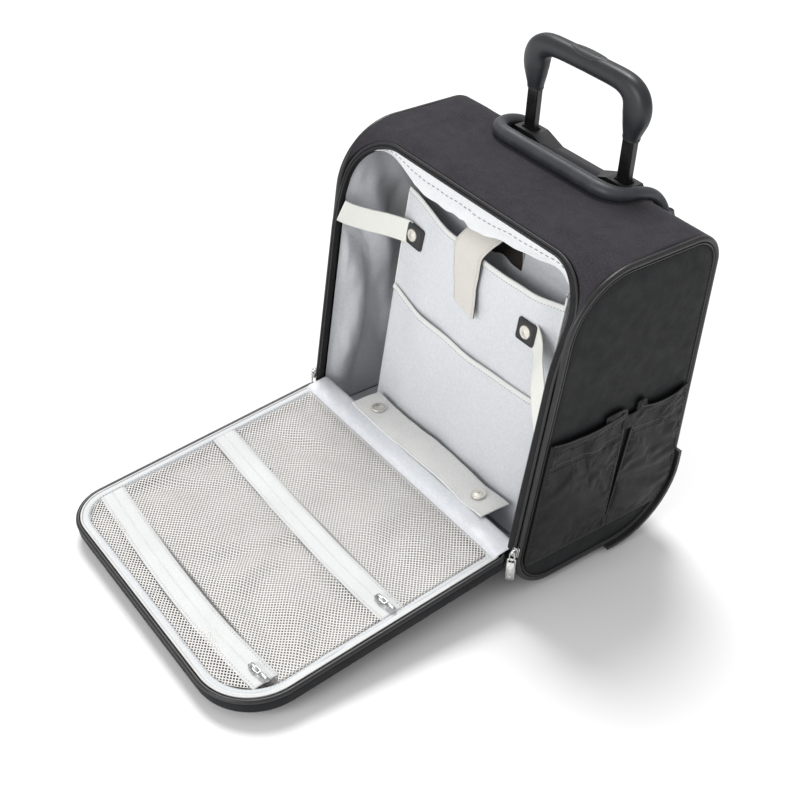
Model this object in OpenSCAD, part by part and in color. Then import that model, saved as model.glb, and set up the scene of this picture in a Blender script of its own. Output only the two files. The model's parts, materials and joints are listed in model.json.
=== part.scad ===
// Pilot rolling flight case, shown with its front lid open. Millimetres, +Z up, floor at Z = 0.
// X runs across the case, +Y points to the back where the wheels and the trolley tubes are.

/* [Case] */
// Width across the two side panels
case_w = 360; // [340:1:380]
// Depth at the bottom
case_d = 218; // [200:1:235]
// Height of the side panels
case_h = 353; // [340:1:365]
// Gap between the floor and the bottom panel
clearance = 10; // [8:1:14]
// How far the front face leans back
lean_deg = 6.2; // [4:0.1:8]
// Thickness of the padded panels
wall = 6; // [5:0.5:7]
// Radius of the front top corner of the side panels
r_front_top = 62; // [50:1:70]
// Radius of the back top corner of the side panels
r_back_top = 33; // [25:1:40]
// Radius of the back bottom corner, where the wheels sit
r_back_bottom = 76; // [70:1:80]
// Radius of the front bottom corner
r_front_bottom = 46; // [35:1:50]

/* [Lid] */
// Height of the lid hinge above the bottom panel
hinge_rise = 53; // [48:1:58]
// Length of the lid from the hinge line
lid_l = 320; // [310:1:322]
// Width of the lid
lid_w = 344; // [336:1:345]
// Depth of the lid tray
lid_t = 19; // [16:0.5:22]
// Angle the open lid hangs below level
lid_droop = 6.5; // [5:0.5:7]
// Radius of the lid's far corners, and of the opening
lid_r = 70; // [60:1:75]

/* [Trolley handle] */
// Distance of each tube from the middle
tube_x = 68; // [64:1:72]
// How far the grip stands above its stowed place
grip_out = 40; // [20:1:44]

/* [Wheels] */
// Wheel radius
wheel_r = 32; // [30:1:34]
// Wheel width
wheel_w = 24; // [20:1:26]
// Distance of each wheel from the middle
wheel_x = 140; // [136:1:142]

/* [Organizer] */
// Half width of the padded organizer
org_half = 122; // [110:1:126]
// Angle the organizer leans back
org_lean = 7.3; // [6:0.1:8]
// Height of the laptop pocket
pocket_h = 286; // [275:1:290]
// Height of the lower pocket
low_pocket_h = 166; // [150:1:180]

/* [Hidden] */
$fn = 48;

// The origin is under the middle of the whole object's box, with the lid open.
origin_y = 42.6;
base_z = clearance;
half = case_w / 2;
wrap_half = half - wall;          // where the top, back and bottom panels meet the side panels
lean = tan(lean_deg);
hinge_y = 3;
hinge_z = base_z + hinge_rise;
rim_gap = 2;                      // between the closed lid and the front face
rim_half = wrap_half - 2;
rim_rise = case_h + 18;           // crown of the arched front edge above the bottom panel
opening_half = 168;
opening_r = lid_r - 4;
side_top_y = hinge_y + rim_gap + 3 + lean * (case_h - hinge_rise);
eps = 0.01;
face_t = 0.2;                     // thickness of the slices that the body is wrapped around

tube_y = 198;
tube_foot_z = base_z + 64;
outer_tube = [21, 15];
middle_tube = [18, 12];
inner_tube = [15, 9];
tube_wall = 1.1;
middle_r = 2.6;
inner_r = 2.2;
bezel_top_z = base_z + case_h + 3;
bezel_z = base_z + case_h - 24;   // foot of the bezel
bezel_half = 92;
bezel_d = 22;
bezel_y = tube_y - 10.8;
slide_gap = 0.4;
grip_neck_z = base_z + 403;
grip_top_z = base_z + 466;
grip_bar = 22;

wheel_y = 174;
arch_r = wheel_r + 9;
arch_w = 38;
axle_r = 4;
guard_t = 4;
board_y = 184;                    // front face of the board that covers the tubes
board_wall = 3;
reach_x = 200;                    // beyond the case on both sides, for the boxes that cut it
welt_in = 3.2;                    // how far the piping reaches in from the side outline, and out of it
welt_out = 2;
lining_t = 1.5;

org_foot = [51, base_z + 15];     // front bottom edge of the laptop pocket
mesh_zips = [[139, 134], [132, 272]]; // slider place across, and distance of each mesh zip from the hinge
main_slider_x = 177.5;
pull_l = 30;
strap_pivot = [166.6, 37.5];
strap_z = base_z + 256;

// Colours
charcoal = [0.235, 0.23, 0.25];
near_black = [0.16, 0.165, 0.17];
silver_cloth = [0.80, 0.81, 0.835];
off_white = [0.90, 0.90, 0.88];
steel = [0.72, 0.72, 0.72];

// ---- Geometry helpers ----

// One rounded corner of an outline: p is the corner, a and b its neighbours, r the radius.
function unit(v) = v / norm(v);
function corner(a, p, b, r, n = 10) =
  let (u = unit(a - p), v = unit(b - p), half_angle = acos(u * v) / 2,
       m = unit(u + v), c = p + m * r / sin(half_angle),
       s = p + u * r / tan(half_angle) - c, e = p + v * r / tan(half_angle) - c,
       turn = 180 - 2 * half_angle, sgn = cross(s, e) > 0 ? 1 : -1)
  [for (i = [0:n]) let (t = sgn * turn * i / n)
    c + [s.x * cos(t) - s.y * sin(t), s.x * sin(t) + s.y * cos(t)]];
// Outline with every corner rounded; corners are [x, y, radius].
function rounded(c) = let (n = len(c))
  [for (i = [0:n - 1]) let (p = c[i], a = c[(i + n - 1) % n], b = c[(i + 1) % n])
    each corner([a.x, a.y], [p.x, p.y], [b.x, b.y], p.z)];
// Flat ribbon of thickness t along a path.
function ribbon(p, t) = let (n = len(p),
    side = [for (i = [0:n - 1]) let (d = unit(p[min(i + 1, n - 1)] - p[max(i - 1, 0)])) [-d.y, d.x] * t / 2])
  concat([for (i = [0:n - 1]) p[i] + side[i]], [for (i = [n - 1:-1:0]) p[i] - side[i]]);
// Rounded rectangle between two corners.
function round_box(x0, y0, x1, y1, r) = rounded([[x0, y0, r], [x1, y0, r], [x1, y1, r], [x0, y1, r]]);

// Side profile of the case in Y and Z, pulled in by g.
function side_outline(g) =
  let (z0 = base_z + g, z1 = base_z + case_h - g, gs = g / cos(lean_deg),
       y_low = side_top_y - lean * case_h + lean * g + gs,
       y_high = side_top_y - lean * g + gs)
  rounded([[y_low, z0, r_front_bottom - g], [case_d - g, z0, r_back_bottom - g],
           [case_d - g, z1, r_back_top - g], [y_high, z1, r_front_top - g]]);
// Outline of the front face in X and distance up the face from the hinge line.
function rim_outline(g, low) =
  rounded([[-rim_half + g, low, 4], [rim_half - g, low, 4],
           [rim_half - g, rim_face_l - g, lid_r - g], [-rim_half + g, rim_face_l - g, lid_r - g]]);
rim_face_l = (rim_rise - hinge_rise) / cos(lean_deg);

module along_x(x0, x1) translate([x0, 0, 0]) rotate([90, 0, 90]) linear_extrude(x1 - x0) children();
// Frame of the leaning front face: X across, local Y up the face, local Z outwards to the front.
module on_face(out = 0)
  translate([0, hinge_y + rim_gap, hinge_z]) rotate([90 - lean_deg, 0, 0])
    translate([0, 0, out]) children();
// Frame of the open lid: X across, local Y away from the hinge, local Z up out of the tray.
module on_lid(s = 0, t = 0)
  translate([0, hinge_y, hinge_z]) rotate([lid_droop, 0, 0]) translate([0, -s, t]) mirror([0, 1, 0]) children();
// Frame of the organizer: local Y to the back, local Z up its leaning face.
module on_organizer(y = 0, z = 0)
  translate([0, org_foot.x, org_foot.y]) rotate([-org_lean, 0, 0]) translate([0, y, z]) children();
module mirrored() scale([-1, 1, 1]) children();
module both() {
  children();
  mirrored() children();
}
module placed() translate([0, origin_y, 0]) children();
module tube(size, wall_t, length, r = 3)
  linear_extrude(length) difference() {
    polygon(round_box(-size.x / 2, -size.y / 2, size.x / 2, size.y / 2, r));
    if (wall_t > 0)
      polygon(round_box(-size.x / 2 + wall_t, -size.y / 2 + wall_t,
                        size.x / 2 - wall_t, size.y / 2 - wall_t, r - wall_t / 2));
  }
module slot_hole(size, grow, z0, z1, r)
  translate([0, 0, z0]) tube([size.x + 2 * grow, size.y + 2 * grow], 0, z1 - z0, r);

// Convex body of the case, pulled in by g; reach is how far it goes to each side.
module body_form(g, reach)
  hull() {
    both() along_x(reach - face_t, reach) polygon(side_outline(g));
    on_face(-g) linear_extrude(face_t) polygon(rim_outline(g, 4 + g));
  }
module shell()
  difference() {
    body_form(0, wrap_half);
    body_form(wall, wrap_half + 1);
  }
module opening_cut()
  on_face(-40) linear_extrude(60)
    polygon(rounded([[-opening_half, -1, 8], [opening_half, -1, 8],
                     [opening_half, rim_face_l - 6, opening_r], [-opening_half, rim_face_l - 6, opening_r]]));
// Round bar on the wheel's axis, w wide, about the right wheel.
module on_axle(r, w)
  translate([wheel_x - w / 2, wheel_y, wheel_r]) rotate([0, 90, 0]) cylinder(h = w, r = r);
module bezel_block(grow)
  translate([-bezel_half - 2 - grow, tube_y - 12 - grow, bezel_z - grow])
    cube([2 * bezel_half + 4 + 2 * grow, 25 + 2 * grow, 40]);
module box_between(a, b) translate(a) cube(b - a);

// ---- Case body ----

module side_panel() color(near_black) along_x(wrap_half, half) polygon(side_outline(welt_in));
module side_panel_left() placed() mirrored() side_panel();
module side_panel_right() placed() side_panel();

module side_piping() placed() color(near_black)
  difference() {
    both() along_x(wrap_half + eps, half + 1) difference() {
      polygon(side_outline(-welt_out));
      polygon(side_outline(welt_in));
    }
    both() guard_band(0);
  }
module shell_part(from, to)
  difference() {
    intersection() {
      shell();
      box_between(from, to);
    }
    opening_cut();
    both() on_axle(arch_r, arch_w);
    bezel_block(0);
  }
back_seam_y = case_d - 14;
low_back_z = base_z + 40;
gusset_top_z = base_z + case_h - r_front_top;
low_seam_y = 60;
module top_panel() placed() color(charcoal)
  shell_part([-reach_x, -20, gusset_top_z], [reach_x, back_seam_y, 450]);
module back_panel() placed() color(near_black)
  shell_part([-reach_x, back_seam_y, low_back_z], [reach_x, 250, 450]);
module bottom_panel() placed() color(near_black)
  union() {
    shell_part([-reach_x, low_seam_y, 0], [reach_x, back_seam_y, low_back_z]);
    shell_part([-reach_x, back_seam_y - eps, 0], [reach_x, 250, low_back_z]);
  }
// The sill keeps the side outline, brought forward to the plane of the front face.
module sill_outline(g)
  hull() {
    polygon(side_outline(g));
    translate([hinge_y + rim_gap + g, hinge_z]) square([1, 4]);
  }
module front_sill() placed() color(near_black)
  intersection() {
    along_x(-wrap_half, wrap_half) difference() {
      sill_outline(0);
      sill_outline(wall);
    }
    box_between([-reach_x, -20, 0], [reach_x, low_seam_y, hinge_z - 0.5]);
  }
module front_gusset() placed() color(near_black)
  shell_part([-reach_x, -20, hinge_z - 0.5], [reach_x, low_seam_y, gusset_top_z]);

module body_zip() placed() color([0.2, 0.2, 0.21])
  on_face(face_t + 0.02) linear_extrude(0.6) difference() {
    polygon(rounded([[-opening_half - 3, 3, 6], [opening_half + 3, 3, 6],
                     [opening_half + 3, rim_face_l - 3, opening_r + 3],
                     [-opening_half - 3, rim_face_l - 3, opening_r + 3]]));
    polygon(rounded([[-opening_half, 5.5, 6], [opening_half, 5.5, 6],
                     [opening_half, rim_face_l - 6, opening_r], [-opening_half, rim_face_l - 6, opening_r]]));
  }
// Room inside the padded panels, in front of the board that covers the tubes.
module inside(g)
  difference() {
    intersection() {
      body_form(wall + g, wrap_half - g);
      box_between([-reach_x, -20, 0], [reach_x, board_y - g, 450]);
    }
    both() on_axle(arch_r + 0.4 + g, arch_w + 0.8 + 2 * g);
  }
module lining() placed() color(silver_cloth)
  difference() {
    inside(0);
    inside(lining_t);
    opening_cut();
  }
module back_board() placed() color(near_black)
  difference() {
    intersection() {
      body_form(wall + 0.3, wrap_half - 0.5);
      box_between([-reach_x, board_y, base_z + 14], [reach_x, board_y + board_wall, 450]);
    }
    both() on_axle(arch_r + lining_t + 0.5, arch_w + 4);
    bezel_block(0.3);
  }
flap_x = [-110, 120];
flap_y = [hinge_y + 8.3, 44];
flap_z = hinge_z + 0.1;
flap_t = 3;
snap_r = 9;
module base_flap() placed() color(off_white)
  translate([0, 0, flap_z]) linear_extrude(flap_t) polygon(round_box(flap_x[0], flap_y[0], flap_x[1], flap_y[1], 5));
module flap_snaps() placed() color(steel)
  for (x = [-84, 92])
    translate([x, 27, flap_z + flap_t]) cylinder(h = 1.8, r = snap_r);

// A pouch on each half of a side panel, open at the top.
pouch_z = [base_z + 36, base_z + 184];
pouch_out = 6.5;                  // how far a pouch stands off the side panel
pouch_t = 1.5;
pouch_rim = 4;                    // width of the stitched edges
module pouch_outline(front, g)
  intersection() {
    polygon(side_outline(6 + g));
    polygon(front
      ? [[0, pouch_z[0] + g], [118 - g, pouch_z[0] + g], [126 - g, pouch_z[1]], [0, pouch_z[1]]]
      : [[121 + g, pouch_z[0] + g], [230, pouch_z[0] + g], [230, pouch_z[1]], [141 + g, pouch_z[1]]]);
  }
module side_pocket() color(near_black)
  for (front = [true, false])
    difference() {
      along_x(half, half + pouch_out) pouch_outline(front, 0);
      along_x(half - 1, half + pouch_out - pouch_t) union() {
        pouch_outline(front, pouch_rim);
        translate([0, 20, 0]) pouch_outline(front, pouch_rim);
      }
    }
module side_pocket_left() placed() mirrored() side_pocket();
module side_pocket_right() placed() side_pocket();

module outer_tubes() placed() color(steel)
  both() translate([tube_x, tube_y, tube_foot_z])
    tube(outer_tube, tube_wall, bezel_z - tube_foot_z);
bracket_h = 12;
module tube_foot_bracket() placed() color(near_black)
  translate([0, 0, tube_foot_z - bracket_h]) linear_extrude(bracket_h)
    polygon(round_box(-tube_x - 18, tube_y - 10, tube_x + 18, tube_y + 8, 3));
module trolley_bezel() placed() color(near_black)
  difference() {
    union() {
      translate([-bezel_half, bezel_y, bezel_z]) cube([2 * bezel_half, bezel_d, 22]);
      both() hull() {
        translate([tube_x - 38, bezel_y, bezel_z + 21.99]) cube([60, bezel_d, 0.1]);
        translate([tube_x - 14, bezel_y, bezel_top_z]) cube([28, bezel_d, 4]);
      }
    }
    both() translate([tube_x, tube_y, 0]) slot_hole(middle_tube, slide_gap, base_z, 450, middle_r + slide_gap);
  }

// Bail swept as short hulls between balls: its front run is thicker than its two legs,
// which bend over the back edge into a plate on the back panel.
carry_r = 9;
leg_r = 6.5;
carry_z = base_z + case_h + 13;
leg_y = case_d + leg_r + 0.3;
plate_z = base_z + case_h - 52;
carry_path = concat(
  [[105, leg_y, plate_z + 33, leg_r], [105, leg_y, base_z + case_h - 16, leg_r]],
  [for (a = [15:25:90]) [105, leg_y - 26 + 26 * cos(a), base_z + case_h - 15 + 26 * sin(a), leg_r + a / 60]],
  [for (a = [0:22.5:90]) [105 - 28 + 28 * cos(a), 188 - 26 * sin(a), carry_z, 8 + a / 90]]);
module rod_between(a, b)
  hull() for (p = [a, b]) translate([p.x, p.y, p.z]) sphere(r = p[3], $fn = 16);
module carry_handle() placed() color([0.23, 0.235, 0.25]) {
  both() {
    for (i = [0:len(carry_path) - 2]) rod_between(carry_path[i], carry_path[i + 1]);
    translate([91, case_d + 0.02, plate_z]) cube([28, 7, 34]);
  }
  rod_between([-77, 162, carry_z, carry_r], [77, 162, carry_z, carry_r]);
}

// Strip that wraps the bottom back corner, grown outwards by grow.
module guard_band(grow)
  intersection() {
    along_x(wheel_x - 40, half + 5) difference() {
      polygon(side_outline(-guard_t - grow));
      polygon(side_outline(-0.02));
    }
    box_between([0, 133, 0], [300, 260, base_z + 91]);
  }
well_r = wheel_r + 6;
well_w = 30;
module wheel_housing() color([0.22, 0.22, 0.23])
  difference() {
    union() {
      intersection() {
        on_axle(arch_r, arch_w);
        along_x(0, half) polygon(side_outline(0.02));
      }
      guard_band(0);
    }
    on_axle(well_r, well_w);
    translate([wheel_x - well_w / 2, wheel_y - well_r, -1]) cube([well_w, 2 * well_r, wheel_r + 1]);
    translate([wheel_x - well_w / 2, wheel_y, -1]) cube([well_w, 80, wheel_r + 2]);
    on_axle(axle_r, 60);
  }
module wheel_housing_left() placed() mirrored() wheel_housing();
module wheel_housing_right() placed() wheel_housing();
module wheel_axles() placed() color(steel) both() on_axle(axle_r, arch_w - 1);
module front_feet() placed() color([0.1, 0.1, 0.1])
  both() translate([130, 64, 0]) cylinder(h = base_z, r1 = 9, r2 = 12);
module fasteners() placed() color(steel) {
  both() for (x = [110, 168]) translate([x, case_d + guard_t, base_z + 84]) rotate([-90, 0, 0]) cylinder(h = 1.2, r = 3.5);
  both() for (z = [9, 22]) translate([105, case_d + 7.02, plate_z + z]) rotate([-90, 0, 0]) cylinder(h = 1.2, r = 3.5);
}
module hinge_gusset() placed() color(near_black)
  translate([-164, hinge_y + 0.4, hinge_z - 0.5]) cube([328, 7, 1.2]);

// ---- Lid ----

lid_start = 4;
module lid_outline(g, low = lid_start)
  polygon(rounded([[-lid_w / 2 + g, low + g, 12 - g / 4], [lid_w / 2 - g, low + g, 12 - g / 4],
                   [lid_w / 2 - g, lid_l - g, lid_r - g], [-lid_w / 2 + g, lid_l - g, lid_r - g]]));
module lid_ring(g0, g1, t0, t1)
  on_lid(0, t0) linear_extrude(t1 - t0) difference() {
    lid_outline(g0);
    lid_outline(g1);
  }
lid_panel_t = 3;
welt_depth = 5;                   // of the lid's piping, below its rim
tape_t = -1.8;                    // back of the zip tape and the mesh, below the rim
tape_in = 20;                     // inner edge of the zip tape, from the lid's outline
band_w = 27.6;
module lid_panel() placed() color(charcoal) on_lid(0, -lid_t) linear_extrude(lid_panel_t) lid_outline(1);
module lid_wall() placed() color(near_black) lid_ring(1, 4, lid_panel_t - lid_t, -welt_depth);
module lid_piping() placed() color(near_black) lid_ring(-1.5, 4.5, -welt_depth, -0.6);
module lid_lining() placed() color(silver_cloth) on_lid(0, lid_panel_t + 0.2 - lid_t) linear_extrude(1) lid_outline(4.3);
module lid_zip() placed() color(off_white) lid_ring(4.7, tape_in, tape_t, -0.6);
module lid_mesh() placed() color([0.87, 0.87, 0.86])
  difference() {
    on_lid(0, tape_t) linear_extrude(1) lid_outline(tape_in + 0.2);
    for (z = mesh_zips)
      on_lid(z.y, -3) translate([-lid_w / 2, -band_w / 2 - 0.2, 0]) cube([lid_w, band_w + 0.4, 5]);
  }
module mesh_zip_bands() placed() color(off_white)
  for (z = mesh_zips)
    on_lid(0, tape_t) linear_extrude(1.4) intersection() {
      lid_outline(tape_in + 0.2);
      translate([-lid_w / 2, z.y - band_w / 2]) square([lid_w, band_w]);
    }
pin_r = 0.8;
module mesh_slider(z) color(steel)
  on_lid(z.y, -0.1) difference() {
    translate([z.x, 0, 0]) union() {
      linear_extrude(2.6) polygon(rounded([[-6, -3, 1], [6, -4.5, 1], [6, 4.5, 1], [-6, 3, 1]]));
      translate([-3, -1.5, 2.5]) cube([7, 3, 3]);
    }
    translate([z.x + 2, -5, 4]) rotate([-90, 0, 0]) cylinder(h = 10, r = pin_r + 0.05);
  }
module mesh_pull(z) color(steel)
  on_lid(z.y, -0.1) translate([z.x + 2, 0, 4]) {
    translate([0, -4, 0]) rotate([-90, 0, 0]) cylinder(h = 8, r = pin_r);
    rotate([0, 5, 0]) translate([0, 0, -0.6]) linear_extrude(1.2) difference() {
      polygon(round_box(-1, -4.5, 22, 4.5, 1.5));
      polygon(round_box(-4, -2.2, 5, 2.2, 0.1));
    }
  }
module mesh_slider_near() placed() mesh_slider(mesh_zips[0]);
module mesh_pull_near() placed() mesh_pull(mesh_zips[0]);
module mesh_slider_far() placed() mesh_slider(mesh_zips[1]);
module mesh_pull_far() placed() mesh_pull(mesh_zips[1]);

// ---- Main zip sliders, parked at the two ends beside the hinge ----

slider_up = 4.5;
pin_out = 5.6;
pull_pivot = [main_slider_x, hinge_y + rim_gap + slider_up * sin(lean_deg) - pin_out * cos(lean_deg),
              hinge_z + slider_up * cos(lean_deg) + pin_out * sin(lean_deg)];
module main_slider() color(steel)
  difference() {
    on_face(-0.4) translate([main_slider_x - 3.6, 0, 0]) {
      cube([7.2, 12, 3.6]);
      translate([2.1, slider_up - 2, 3.59]) cube([3, 4, 4.2]);
    }
    translate(pull_pivot - [10, 0, 0]) rotate([0, 90, 0]) cylinder(h = 20, r = pin_r + 0.05);
  }
module main_pull() color(steel) translate(pull_pivot) {
  translate([-3.4, 0, 0]) rotate([0, 90, 0]) cylinder(h = 6.8, r = pin_r);
  translate([0, -0.6, 0]) rotate([-90, 0, 0]) linear_extrude(1.2) difference() {
    polygon(round_box(-4, -1, 4, pull_l, 1));
    polygon(round_box(-2.3, -4, 2.3, 6, 0.1));
    polygon(round_box(-1.5, 9, 1.5, pull_l - 5, 0.6));
  }
}
module main_slider_left() placed() mirrored() main_slider();
module main_pull_left() placed() mirrored() main_pull();
module main_slider_right() placed() main_slider();
module main_pull_right() placed() main_pull();

// ---- Trolley handle ----

middle_foot_z = tube_foot_z + 2;
middle_l = bezel_top_z + 6 - middle_foot_z;
inner_foot_z = middle_foot_z + 3 + grip_out;
module middle_tubes() placed() color([0.12, 0.12, 0.13])
  both() translate([tube_x, tube_y, middle_foot_z]) tube(middle_tube, tube_wall, middle_l, middle_r);
module inner_tubes() placed() color([0.1, 0.1, 0.1])
  both() translate([tube_x, tube_y, inner_foot_z]) tube(inner_tube, tube_wall, grip_neck_z + 8 - inner_foot_z, inner_r);
grip_d = 27;
grip_bar_z = grip_top_z - grip_bar / 2;
button_top = 8.6;                 // from the button's foot to the top of the grip
button_r = 9;
yoke_h = 4;
spring_z = grip_top_z - 16.2;
module grip_slice(x, z, w, d, tilt = 0)
  translate([x, tube_y, z]) rotate([0, tilt, 0]) linear_extrude(0.4)
    polygon(round_box(-w / 2, -d / 2, w / 2, d / 2, min(w, d) * 0.38));
module grip() placed() color([0.2, 0.205, 0.22])
  difference() {
    union() {
      both() {
        hull() {
          grip_slice(tube_x, grip_neck_z, 19, 17);
          grip_slice(tube_x + 1, grip_top_z - 34, 30, grip_d);
        }
        hull() {
          grip_slice(tube_x + 1, grip_top_z - 34, 30, grip_d);
          grip_slice(tube_x - 2, grip_top_z - 14, 27, grip_d, -45);
          grip_slice(tube_x - 22, grip_bar_z, grip_bar, grip_d - 1, -90);
        }
      }
      hull() both() grip_slice(tube_x - 22, grip_bar_z, grip_bar, grip_d - 1, -90);
    }
    both() translate([tube_x, tube_y, 0]) slot_hole(inner_tube, 0, grip_neck_z - 1, grip_neck_z + 8, inner_r);
    both() translate([tube_x, tube_y, grip_neck_z + 7]) cylinder(h = grip_top_z - 16 - grip_neck_z, r = 2.6);
    translate([-tube_x - 3, tube_y - 3, spring_z]) cube([2 * tube_x + 6, 6, 8.2]);
    translate([0, tube_y, grip_top_z - button_top - 3.8]) scale([2.15, 1, 1]) cylinder(h = 24, r = button_r + 0.4);
  }
module grip_button() placed() color([0.14, 0.14, 0.15])
  translate([0, tube_y, grip_top_z - button_top]) scale([2.1, 1, 1]) cylinder(h = button_top + 1, r = button_r);
module release_rods() placed() color(steel) {
  translate([-tube_x - 2, tube_y - 2.5, grip_top_z - button_top - yoke_h]) cube([2 * tube_x + 4, 5, yoke_h]);
  both() translate([tube_x, tube_y, inner_foot_z + 12]) cylinder(h = grip_top_z - 24 - inner_foot_z, r = 1.5);
}
module button_spring() placed() color(steel)
  translate([0, tube_y, spring_z]) difference() {
    cylinder(h = 3.6, r = 2.4);
    translate([0, 0, -1]) cylinder(h = 6, r = 1.7);
  }

// ---- Organizer ----

pocket_t = 20;                    // from the pocket's front sheet to the padded board
board_t = 6;
module organizer_board() placed() color(silver_cloth)
  on_organizer(pocket_t) translate([-org_half, 0, 0]) cube([2 * org_half, board_t, pocket_h + 14]);
module organizer_pocket() placed() color(silver_cloth)
  on_organizer() difference() {
    translate([-org_half, 0, 0]) cube([2 * org_half, pocket_t, pocket_h]);
    translate([-org_half + 2, 2, 3]) cube([2 * org_half - 4, pocket_t, pocket_h]);
  }
module organizer_low_pocket() placed() color(silver_cloth)
  on_organizer() translate([-org_half, -3.6, 0]) cube([2 * org_half, 3.4, low_pocket_h]);

strap_w = 46;
closure_x = 5;
closure_path = [[21, pocket_h + 17], [16, pocket_h + 28], [8, pocket_h + 35], [0, pocket_h + 32],
                [-5, pocket_h + 20], [-4.5, pocket_h - 6], [-3.2, pocket_h - 80]];
module closure_strap() placed() color([0.86, 0.85, 0.83])
  on_organizer() translate([closure_x - strap_w / 2, 0, 0])
    for (i = [0:len(closure_path) - 2]) let (a = closure_path[i], b = closure_path[i + 1])
      hull() for (p = [a, b])
        translate([0, p.x, p.y]) rotate([0, 90, 0]) cylinder(h = strap_w, r = 1.2, $fn = 16);

// Webbing straps between the opening and the organizer, each with a snap tab.
strap_y = org_foot.x + (strap_z - org_foot.y) * tan(org_lean) - 3.2;
strap_path = [strap_pivot, [152, 57], [134, 71], [118, strap_y - 0.4]];
tab_l = 30;
tab_h = 28;
webbing_w = 26;
module strap() color(off_white)
  translate([0, 0, strap_z - webbing_w / 2]) linear_extrude(webbing_w) polygon(ribbon(strap_path, 1.4));
module strap_tab() color([0.12, 0.12, 0.12])
  translate([118, strap_y, strap_z]) rotate([-org_lean, 0, 0]) {
    translate([-tab_l + 4, 0.4, -tab_h / 2]) cube([tab_l, 2, tab_h]);
    translate([-12, 0.4, 0]) rotate([90, 0, 0]) cylinder(h = 2, r = snap_r);
  }
module strap_left() placed() mirrored() strap();
module strap_tab_left() placed() mirrored() strap_tab();
module strap_right() placed() strap();
module strap_tab_right() placed() strap_tab();

// ---- Wheels ----

hub_r = 22;
web_t = 4;                        // half thickness of the hub between its boss and its rim
module wheel_tyre(s) color([0.1, 0.1, 0.1])
  translate([s * wheel_x, wheel_y, wheel_r]) rotate([0, 90, 0]) rotate_extrude($fn = 64)
    polygon([[hub_r, -wheel_w / 2 + 1], [wheel_r - 4, -wheel_w / 2], [wheel_r - 1, -wheel_w / 2 + 4], [wheel_r, 0],
             [wheel_r - 1, wheel_w / 2 - 4], [wheel_r - 4, wheel_w / 2], [hub_r, wheel_w / 2 - 1]]);
module wheel_hub(s) color([0.3, 0.3, 0.32])
  translate([s * wheel_x, wheel_y, wheel_r]) rotate([0, 90, 0]) rotate_extrude($fn = 64)
    polygon([[axle_r + 0.05, -wheel_w / 2], [9, -wheel_w / 2], [10, -web_t], [hub_r - 4, -web_t],
             [hub_r - 3, -wheel_w / 2 + 2], [hub_r, -wheel_w / 2 + 2], [hub_r, wheel_w / 2 - 2],
             [hub_r - 3, wheel_w / 2 - 2], [hub_r - 4, web_t], [10, web_t], [9, wheel_w / 2],
             [axle_r + 0.05, wheel_w / 2]]);
module wheel_tyre_left() placed() wheel_tyre(-1);
module wheel_hub_left() placed() wheel_hub(-1);
module wheel_tyre_right() placed() wheel_tyre(1);
module wheel_hub_right() placed() wheel_hub(1);

side_panel_left();
side_panel_right();
side_piping();
top_panel();
back_panel();
bottom_panel();
front_sill();
front_gusset();
body_zip();
lining();
back_board();
base_flap();
flap_snaps();
side_pocket_left();
side_pocket_right();
outer_tubes();
tube_foot_bracket();
trolley_bezel();
carry_handle();
wheel_housing_left();
wheel_housing_right();
wheel_axles();
front_feet();
fasteners();
hinge_gusset();
lid_panel();
lid_wall();
lid_piping();
lid_lining();
lid_zip();
lid_mesh();
mesh_zip_bands();
mesh_slider_near();
mesh_pull_near();
mesh_slider_far();
mesh_pull_far();
main_slider_left();
main_pull_left();
main_slider_right();
main_pull_right();
middle_tubes();
inner_tubes();
grip();
grip_button();
release_rods();
button_spring();
organizer_board();
organizer_pocket();
organizer_low_pocket();
closure_strap();
strap_left();
strap_tab_left();
strap_right();
strap_tab_right();
wheel_tyre_left();
wheel_hub_left();
wheel_tyre_right();
wheel_hub_right();
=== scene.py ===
import json
import math

import bmesh
import bpy
import numpy as np
from mathutils import Matrix, Vector, noise
from mathutils.bvhtree import BVHTree

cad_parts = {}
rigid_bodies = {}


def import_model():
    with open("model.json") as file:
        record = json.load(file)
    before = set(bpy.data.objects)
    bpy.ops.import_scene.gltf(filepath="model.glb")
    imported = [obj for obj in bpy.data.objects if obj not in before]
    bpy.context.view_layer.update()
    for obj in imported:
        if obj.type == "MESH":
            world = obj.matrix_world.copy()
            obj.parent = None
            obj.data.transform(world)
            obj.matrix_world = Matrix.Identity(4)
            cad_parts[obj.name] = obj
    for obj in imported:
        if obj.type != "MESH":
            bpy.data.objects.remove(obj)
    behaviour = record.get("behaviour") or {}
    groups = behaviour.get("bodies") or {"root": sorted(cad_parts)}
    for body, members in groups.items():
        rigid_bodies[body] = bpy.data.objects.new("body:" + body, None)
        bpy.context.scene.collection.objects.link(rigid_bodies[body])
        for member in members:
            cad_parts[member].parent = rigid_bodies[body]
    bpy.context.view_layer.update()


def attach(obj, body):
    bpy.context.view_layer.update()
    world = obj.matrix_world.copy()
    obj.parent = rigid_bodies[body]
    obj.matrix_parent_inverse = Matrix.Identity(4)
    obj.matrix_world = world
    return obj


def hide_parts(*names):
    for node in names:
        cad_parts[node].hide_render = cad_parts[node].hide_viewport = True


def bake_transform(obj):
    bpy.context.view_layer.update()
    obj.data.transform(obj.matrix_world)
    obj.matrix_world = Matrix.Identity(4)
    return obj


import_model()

# ---- Driving dimensions, in mm, in the case's own frame (y = 0 at the foot of the front face) ----

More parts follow.
